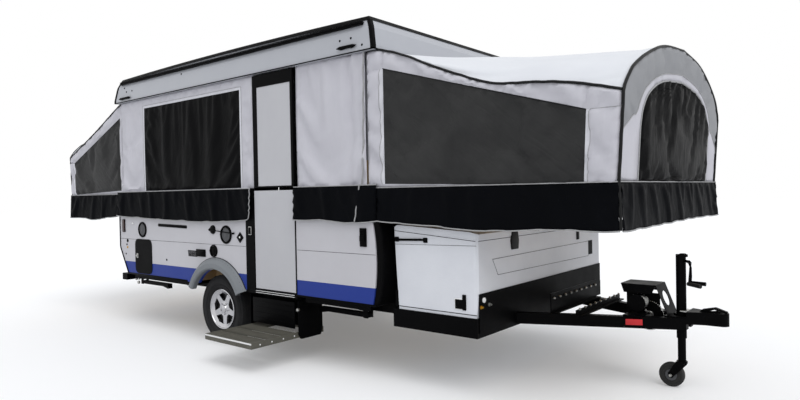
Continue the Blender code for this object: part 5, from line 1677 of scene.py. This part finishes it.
    def trim(self, side: Side) -> None:
        """The seam line, the rear edge trim and the sill trim on one side."""
        y_place = side.value * 1.0805
        bench = Bench()
        spans = ((-1.735, 0.425), (1.068, 1.880)) if side is Side.RIGHT else ((-1.735, 1.880),)
        for rear, front in spans:
            low, high = sorted((y_place, y_place - side.value * 0.002))
            bench.box((rear, low, 0.8836), (front, high, 0.8864))
        edge = [(-1.735, y_place, 1.372), (-1.735, y_place, 0.805), (-1.728, y_place, 0.785),
                (-1.575, y_place, 0.530)]
        bench.tube(edge, 0.008, sides=8)
        low, high = sorted((y_place + side.value * 0.004, y_place - side.value * 0.012))
        for rear, front in ((-1.570, -0.470), (0.470, 1.880)):
            bench.box((rear, low, 0.520), (front, high, 0.536), 0.003)
        outer, first_angle = 0.463, 28
        for radius in (outer, 0.448):
            y_ring = side.value * (1.083 + (outer - radius) * 1.2)
            path = arc((0.0, AXLE_Z), radius, first_angle, 180 - first_angle, 49)
            bench.tube([(x, y_ring, z) for x, z in path], 0.0035, sides=8)
        bench.place("side_trim_" + side.tag, TRIM)
        bolts = Bench()
        places = ((-1.474, 0.467, 0.011), (-1.421, 0.474, 0.011), (-1.433, 0.436, 0.016))
        for x_place, z_place, radius in places:
            bolts.head((x_place, side.value * 1.052, z_place), (0, side.value, 0), radius * 0.8, radius,
                       0.008, 0.004, -0.010, 12)
        bolts.place("bracket_bolts_" + side.tag, ZINC)


@dataclass
class WheelDress:
    """What the road wheels show besides rim and tyre: dark pockets, a polished lip, ribs and lugs.

    Attributes:
        side: which wheel.
        body: what it turns with.
        track: distance of the wheel's middle plane from the middle line.
    """

    side: Side
    body: Body
    track: float = 0.965

    def build(self) -> None:
        """Builds the wheel's details."""
        center = (0.0, self.side.value * self.track, AXLE_Z)
        axis = (0, self.side.value, 0)
        tag = self.side.tag
        dark = Bench().lathe(((0.0, 0.016), (0.140, 0.016), (0.1475, 0.019), (0.1475, 0.010), (0.0, 0.010)),
                             center, axis, 60)
        dark.place("wheel_pocket_" + tag, POCKET_PAINT, self.body)
        lip_section = ((0.164, 0.066), (0.168, 0.0725), (0.174, 0.0745), (0.1785, 0.0715), (0.1785, 0.060),
                       (0.168, 0.060))
        lip = Bench().lathe(lip_section, center, axis, 96)
        lip.lathe(((0.0, 0.061), (0.022, 0.0605), (0.027, 0.0585), (0.029, 0.054)), center, axis, 48)
        for k in range(5):
            angle = math.radians(72.0 * k + 94.5 + 36.0)
            spot = (0.050 * math.cos(angle), center[1], AXLE_Z + 0.050 * math.sin(angle))
            lip.head(spot, axis, 0.005, 0.007, 0.057, 0.054, 0.042)
        lip.place("wheel_lip_" + tag, ALLOY, self.body)
        self.tyre(center, axis, tag)

    def tyre(self, center: Point, axis: Point, tag: str) -> None:
        """Sidewall ribs and the tread's lugs."""
        bench = Bench()
        for radius, height, size in ((0.192, 0.068, 0.0020), (0.214, 0.0835, 0.0016), (0.222, 0.0855, 0.0016),
                                     (0.268, 0.0862, 0.0022), (0.284, 0.0795, 0.0022)):
            bench.lathe(((radius - size * 1.5, height - 0.003), (radius - size * 0.5, height + size),
                         (radius + size * 0.5, height + size), (radius + size * 1.5, height - 0.003)),
                        center, axis, 96)
        out = Vector(axis)
        for k in range(72):
            angle = 2 * math.pi * k / 72
            way = Vector((math.cos(angle), 0, math.sin(angle)))
            along_way = Vector((-way.z, 0, way.x))
            for sign in (-1.0, 1.0):
                base = Vector(center) + way * 0.2945 + out * sign * 0.0640
                spread = [(along_way * a * 0.0085 + out * sign * b * 0.0075) for a, b in
                          ((-1, -1), (1, -1), (1, 1), (-1, 1))]
                low = [base + item for item in spread]
                high = [base + item * 0.8 + way * 0.0075 - out * sign * 0.003 for item in spread]
                bench.loft([low, high])
        for height in (-0.036, -0.012, 0.012, 0.036):
            bench.lathe(((0.3015, height - 0.009), (0.3048, height - 0.008), (0.3048, height + 0.008),
                         (0.3015, height + 0.009)), center, axis, 96)
        bench.place("tyre_tread_" + tag, TYRE_RUBBER, self.body)


def storage_details() -> None:
    """Handle, hasp, latches, seam and valves on the front storage box, and painted shade: a black line round
    its sunk panel, a black plate in its slot and a black line under each side flange.
    """
    black = Bench()
    black.tube([(2.004, -1.001, 0.992), (2.018, -1.009, 0.992), (2.060, -1.0095, 0.993),
                (2.210, -1.0095, 0.997), (2.250, -1.009, 0.998), (2.265, -1.001, 0.998)], 0.008, sides=10)
    for x_place in (2.012, 2.257):
        black.box((x_place - 0.016, -1.008, 0.978), (x_place + 0.016, -0.999, 1.012), 0.003)
    black.box((2.487, -1.007, 0.565), (2.544, -0.999, 0.626), 0.003)
    black.box((2.543, -1.009, 0.559), (2.570, -0.999, 0.659), 0.004)
    black.tube([(2.6575, y, 1.020 + 0.012 * math.cos(math.pi * (y + 0.135) / 0.06)) for y in
                (-0.165, -0.150, -0.135, -0.120, -0.105)], 0.004, sides=8)
    # A black plate in the slot at the sunk panel's end: painted shade in the recess.
    black.plate(((0.75, 0.763), (0.837, 0.763), (0.837, 0.88), (0.75, 0.88)),
                ((2.6545, 0, 0), LEFTWARD, UP), 0.003)
    black.box((2.6500, -0.489, 0.498), (2.6580, -0.015, 0.503))
    sunk = ((-0.815, 0.872), (-0.75, 0.765), (0.75, 0.753), (0.75, 0.877))
    # A thin black line round the sunk panel: painted shade along the recess's edge.
    black.tube([(2.6572, y, z) for y, z in sunk], 0.0014, sides=6, closed=True)
    black.tube([(2.6570, -0.985, 1.0), (2.6570, 0.985, 1.0)], 0.0016, sides=6)
    for side in Side:
        y_line = side.value * 1.0008
        black.tube([(1.990, y_line, 1.053), (2.645, y_line, 1.001)], 0.0018, sides=6)
        # A thin black line along the flange's lower edge: painted shadow under it.
        black.tube([(1.990, y_line, 0.960), (2.650, y_line, 0.972)], 0.0012, sides=6)
        y_low, y_high = sorted((side.value * 0.9995, side.value * 1.0025))
        black.box((2.002, y_low, 0.533), (2.650, y_high, 0.537))
        black.box((1.99, y_low, 0.537), (2.014, y_high, 0.641))
    black.place("storage_black_parts", TRIM)
    rim = Bench().box((2.481, -1.0035, 0.559), (2.550, -0.999, 0.632), 0.002)
    rim.place("storage_hasp_rim", WHITE_PAINT)
    rubber = Bench()
    front = ((2.6555, 0, 0), LEFTWARD, UP)
    rubber.plate(((-0.568, 0.915), (-0.485, 0.915), (-0.475, 0.975), (-0.492, 1.046), (-0.561, 1.046),
                  (-0.578, 0.975)), front, 0.014, 0.004)
    rubber.plate(((0.512, 0.906), (0.549, 0.906), (0.549, 0.971), (0.512, 0.971)), front, 0.012, 0.004)
    rubber.place("storage_rubber_catches", RUBBER_CATCH)
    panel = Bench().plate(sunk, ((2.6550, 0, 0), LEFTWARD, UP), 0.002)
    panel.place("storage_front_panel", BOX_SHELL)
    plug = ((0.0, 0.010), (0.012, 0.010), (0.017, 0.006), (0.017, -0.002))
    hex_fitting = ((0.0, 0.018), (0.007, 0.018), (0.008, 0.006), (0.013, 0.006), (0.013, -0.002))
    valve = ((0.0, 0.022), (0.006, 0.022), (0.007, 0.008), (0.012, 0.008), (0.012, -0.002))
    for name, section, y_place, z_place, count, finish in (
            ("kick_plug_white", plug, -0.941, 0.626, 24, WHITE_PAINT),
            ("kick_brass_fitting", hex_fitting, -0.975, 0.586, 6, BRASS),
            ("kick_silver_valve", valve, -0.881, 0.590, 20, ZINC)):
        bench = Bench().lathe(section, (2.662, y_place, z_place), FORWARD, count)
        bench.place(name, finish)
    bolts = Bench()
    for x_place, z_place in ((2.173, 0.460), (2.318, 0.460), (2.533, 0.460), (2.640, 0.455)):
        for side in Side:
            bolts.head((x_place, side.value * 0.999, z_place), (0, side.value, 0), 0.008, 0.010,
                       0.007, 0.004, -0.008)
    bolts.place("frame_bolts", ZINC)


def tongue_details() -> None:
    """Drum cable, gear ribs, the red patch, bolts, the coupler's latch and the jack's crank."""
    cable = Bench()
    for k in range(11):
        height = -0.100 + 0.018 * k
        cable.lathe(((0.0440, height - 0.008), (0.0500, height - 0.004), (0.0500, height + 0.004),
                     (0.0440, height + 0.008)), (3.34, 0.0, 0.55), (0, 1, 0), 32)
    cable.place("winch_cable", ZINC)
    gear = Bench()
    for k in range(48):
        angle = 2 * math.pi * k / 48
        way = Vector((math.cos(angle), 0, math.sin(angle)))
        base = Vector((3.39, -0.025, 0.46)) + way * 0.0965
        across = Vector((-way.z, 0, way.x))
        low = [base + across * a * 0.0036 + Vector((0, b * 0.005, 0))
               for a, b in ((-1, -1), (1, -1), (1, 1), (-1, 1))]
        gear.loft([low, [point.lerp(base, 0.35) + way * 0.004 for point in low]])
    gear.head((3.39, -0.025, 0.46), LEFTWARD, 0.030, 0.034, -0.012, -0.008, 0.0, 24)
    gear.place("winch_gear_teeth", ZINC)
    patch = Bench()
    rear, front, length = 3.315, 3.410, 0.098
    rear_y, front_y = (-(0.53 - 0.43 * (x_place - 2.616)) - 0.031 for x_place in (rear, front))
    way = ((front - rear) / length, (front_y - rear_y) / length, 0)
    patch.plate(((0.0, 0.428), (length, 0.428), (length, 0.466), (0.0, 0.466)), ((rear, rear_y, 0), way, UP),
                0.0015, 0.0004)
    patch.place("tongue_red_patch", RED_PAINT)
    bolts = Bench()
    for k in range(9):
        for x_place, height in ((2.86, 0.575), (3.04, 0.518)):
            bolts.head((x_place + 0.004, -0.36 + 0.09 * k, height), FORWARD, 0.006, 0.009, 0.012, 0.008, 0.0)
    for x_place, y_place in ((3.300, -0.050), (3.300, 0.050), (3.375, -0.050), (3.375, 0.050)):
        bolts.head((x_place, y_place, 0.492), UP, 0.008, 0.009, 0.012, 0.009, 0.0)
    bolts.place("tongue_bolts", ZINC)
    latch = ((3.730, 0.488), (3.748, 0.520), (3.800, 0.528), (3.845, 0.515), (3.869, 0.490), (3.845, 0.494))
    black = Bench().plate(latch, ((0, 0.006, 0), FORWARD, UP), 0.012, 0.002)
    black.rod((3.603, 0.0, 0.862), (3.603, 0.0, 0.877), 0.030, sides=28)
    black.lathe(((0.0, 0.008), (0.018, 0.006), (0.026, 0.0)), (3.603, 0.0, 0.877), UP, 28)
    black.rod((3.603, -0.010, 0.842), (3.640, -0.036, 0.836), 0.009, sides=14)
    black.tube([(3.636, -0.034, 0.837), (3.652, -0.042, 0.826), (3.662, -0.047, 0.800),
                (3.664, -0.050, 0.745), (3.662, -0.052, 0.705), (3.652, -0.056, 0.694)], 0.0065, sides=10)
    black.place("jack_head_and_crank", POWDER_BLACK)
    grip = Bench().rod((3.646, -0.050, 0.694), (3.733, -0.108, 0.690), 0.013, sides=18)
    grip.place("jack_crank_grip", RUBBER_CATCH)
    plate = Bench().box((3.592, -0.046, 0.506), (3.652, 0.046, 0.516), 0.002)
    plate.place("jack_plate", ZINC)
    guard = Bench()
    for y_place in (-0.1005, 0.1005):
        for x_place, z_place in ((3.300, 0.520), (3.500, 0.520)):
            guard.head((x_place, y_place, z_place), (0, math.copysign(1, y_place), 0), 0.007, 0.009,
                       0.006, 0.003, -0.004)
    guard.place("guard_bolts", ZINC)


def caster_details() -> None:
    """The caster's axle bolt and its pale hub, on both sides."""
    center = (3.526, 0.0, 0.080)
    hub_section = ((0.018, 0.0255), (0.020, 0.0275), (0.034, 0.0275), (0.037, 0.0245))
    for side in Side:
        way, tag = (0, side.value, 0), side.tag
        bolt = Bench().head(center, way, 0.009, 0.012, 0.046, 0.042, 0.034)
        bolt.place("caster_axle_bolt_" + tag, ZINC, Body.CASTER)
        hub = Bench().lathe(hub_section, center, way, 32)
        hub.place("caster_hub_" + tag, CAP_GREY, Body.CASTER_WHEEL)


def step_details() -> None:
    """Grip ribs, the white strip, the rail's studs and the threshold."""
    grip = Bench()
    for k in range(26):
        x_place = 0.482 + 0.0222 * k
        grip.rod((x_place, -1.500, 0.2385), (x_place, -0.830, 0.2385), 0.0016, sides=6)
    grip.place("step_grip", TREAD, Body.STEP)
    white = Bench().box((0.470, -1.5215, 0.226), (1.050, -1.5185, 0.238), 0.001)
    for k in range(6):
        white.lathe(((0.0, 0.003), (0.004, 0.0025), (0.006, 0.0), (0.006, -0.002)),
                    (1.0505, -1.44 + 0.11 * k, 0.217), (1, 0, 0), 12)
    white.place("step_white_strip", WHITE_PAINT, Body.STEP)
    pale = Bench()
    for z_place in (0.5275, 0.5125):
        pale.box((0.555, -1.0880, z_place - 0.002), (1.032, -1.0835, z_place + 0.002), 0.001)
    pale.place("door_threshold", WHITE_PAINT)
    riser = Bench().box((0.500, -1.078, 0.262), (1.020, -1.072, 0.470), 0.002)
    for k in range(4):
        z_place = 0.300 + 0.045 * k
        riser.box((0.515, -1.0805, z_place), (1.005, -1.077, z_place + 0.006), 0.001)
    riser.place("step_riser", POWDER_BLACK)
    bolt = Bench().head((1.055, -1.074, 0.416), (0, -1, 0), 0.012, 0.015, 0.008, 0.004, -0.010)
    bolt.place("hanger_bolt", ZINC)


@dataclass
class Studio:
    """Floor, lights and the camera at the photograph's place.

    Attributes:
        focal_px: focal length in pixels.
        width_px: width of the picture in the same pixels.
        sensor_mm: width of the sensor.
        place: the camera, in stance metres.
        yaw: heading in degrees.
        pitch: degrees above level.
        roll: degrees.
        floor_lift: how much brighter the floor is to the camera than as lit paper.
    """

    focal_px: float = 617.42
    width_px: float = 800.0
    sensor_mm: float = 36.0
    place: tuple[float, float, float] = (4.721, -4.286, 1.317)
    yaw: float = 39.176
    pitch: float = -0.708
    roll: float = -1.077
    floor_lift: float = 0.18

    def build(self) -> None:
        """Builds the floor, the world, the lamps and the camera."""
        self.camera()
        self.floor()
        self.world()
        self.lamps()
        bpy.context.scene.view_settings.view_transform = "Standard"

    def camera(self) -> None:
        """The camera, from its heading, pitch and roll."""
        yaw, pitch, roll = (math.radians(value) for value in (self.yaw, self.pitch, self.roll))
        ahead = Vector((-math.sin(yaw) * math.cos(pitch), math.cos(yaw) * math.cos(pitch), math.sin(pitch)))
        right = Vector((math.cos(yaw), math.sin(yaw), 0.0))
        up = right.cross(ahead)
        right, up = right * math.cos(roll) + up * math.sin(roll), up * math.cos(roll) - right * math.sin(roll)
        data = bpy.data.cameras.new("photo_camera")
        data.sensor_width = self.sensor_mm
        data.sensor_fit = "HORIZONTAL"
        data.lens = self.focal_px * self.sensor_mm / self.width_px
        item = bpy.data.objects.new("photo_camera", data)
        bpy.context.scene.collection.objects.link(item)
        item.matrix_world = Matrix.Translation(Vector(self.place) + STANCE) @ Matrix(
            (right, up, -ahead)).transposed().to_4x4()
        bpy.context.scene.camera = item

    def floor(self) -> None:
        """A wide pale floor: it keeps the trailer's shadow and runs over into the white surround."""
        look = bpy.data.materials.new("studio_floor")
        look.use_nodes = True
        tree = look.node_tree
        tree.nodes.clear()
        rays = add_node(tree, "ShaderNodeLightPath")
        paper = add_node(tree, "ShaderNodeBsdfDiffuse", {"Color": (0.78, 0.78, 0.79, 1.0)})
        glow = add_node(tree, "ShaderNodeEmission", {"Color": (1.0, 1.0, 1.0, 1.0)})
        lift = add_node(tree, "ShaderNodeMath", {1: self.floor_lift}, {0: rays.outputs["Is Camera Ray"]},
                        operation="MULTIPLY")
        tree.links.new(lift.outputs[0], glow.inputs["Strength"])
        total = add_node(tree, "ShaderNodeAddShader", links={0: paper.outputs[0], 1: glow.outputs[0]})
        add_node(tree, "ShaderNodeOutputMaterial", links={"Surface": total.outputs[0]})
        work = bmesh.new()
        bmesh.ops.create_grid(work, x_segments=1, y_segments=1, size=60.0)
        mesh = bpy.data.meshes.new("studio_floor")
        work.to_mesh(mesh)
        work.free()
        mesh.materials.append(look)
        item = bpy.data.objects.new("studio_floor", mesh)
        item.location = (0.0, 0.0, STANCE.z - 0.0005)
        bpy.context.scene.collection.objects.link(item)

    @staticmethod
    def world() -> None:
        """An even white surround."""
        world = bpy.data.worlds.new("studio_world")
        world.use_nodes = True
        tree = world.node_tree
        tree.nodes.clear()
        rays = add_node(tree, "ShaderNodeLightPath")
        seen = add_node(tree, "ShaderNodeMath", links={0: rays.outputs["Is Camera Ray"],
                                                       1: rays.outputs["Is Glossy Ray"]},
                        operation="MAXIMUM")
        soft = add_node(tree, "ShaderNodeBackground", {"Color": (0.96, 0.98, 1.0, 1.0), "Strength": 0.82})
        bright = add_node(tree, "ShaderNodeBackground", {"Color": (1.0, 1.0, 1.0, 1.0), "Strength": 1.0})
        mix = add_node(tree, "ShaderNodeMixShader", links={0: seen.outputs[0], 1: soft.outputs[0],
                                                           2: bright.outputs[0]})
        add_node(tree, "ShaderNodeOutputWorld", links={"Surface": mix.outputs[0]})
        bpy.context.scene.world = world

    @staticmethod
    def lamps() -> None:
        """One very soft sun from above, a little towards the door side."""
        data = bpy.data.lights.new("soft_sky_sun", "SUN")
        data.energy = 1.25
        data.angle = math.radians(45.0)
        item = bpy.data.objects.new("soft_sky_sun", data)
        item.rotation_euler = Vector((-0.60, 0.30, -1.0)).to_track_quat("-Z", "Y").to_euler()
        bpy.context.scene.collection.objects.link(item)


NODE_FINISHES: dict[str, Finish] = {
    "roof_shell": ROOF_GELCOAT, "siding": SIDE_PANEL, "steel_black": POWDER_BLACK, "trim_black": TRIM,
    "canvas_grey": CANVAS, "canvas_black": SKIRT_CLOTH, "box_white": BOX_SHELL,
    "fender_grey": FENDER_PLASTIC, "tyre": TYRE_RUBBER, "caster_rubber": CASTER_RUBBER, "alloy": ALLOY,
    "board": BOARD, "tread_grey": TREAD,
}
NODE_EXCEPTIONS: dict[str, Finish] = {"door_lower": DOOR_SKIN, "door_upper_panel": DOOR_SKIN}


def dress_nodes(frame: dict) -> None:
    """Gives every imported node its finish, by the record's material slots."""
    for part in frame["record"]["subparts"]:
        name = part["node"]
        finish = NODE_EXCEPTIONS.get(name, NODE_FINISHES[part["material_slot"]])
        item = frame["nodes"][name]
        if not item.material_slots:
            item.data.materials.append(finish.material())
        for slot in item.material_slots:
            slot.material = finish.material()


def main() -> None:
    """Builds the looks of the whole trailer."""
    logging.basicConfig(level=logging.INFO, format="%(message)s")
    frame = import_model()
    dress_nodes(frame)
    Studio().build()
    RoofTrim().build()
    SideFittings().build()
    WheelDress(Side.RIGHT, Body.WHEEL_RIGHT).build()
    WheelDress(Side.LEFT, Body.WHEEL_LEFT).build()
    storage_details()
    tongue_details()
    caster_details()
    step_details()
    TentWalls().build()
    BedTent("front", Body.FRONT_BED, "front_bed_slide", 1, 1.80, 3.56, FRONT_PIPING, FRONT_RIDGE,
            ((0.150, 1.377, 2.170), (1.575, 1.340, 1.748)), 3.3).build()
    BedTent("rear", Body.REAR_BED, "rear_bed_slide", -1, -1.70, -2.942, REAR_PIPING, REAR_RIDGE,
            ((0.05, 1.392, 2.160), (1.125, 1.360, 1.735)), 77.7).build()


if __name__ == "__main__":
    main()
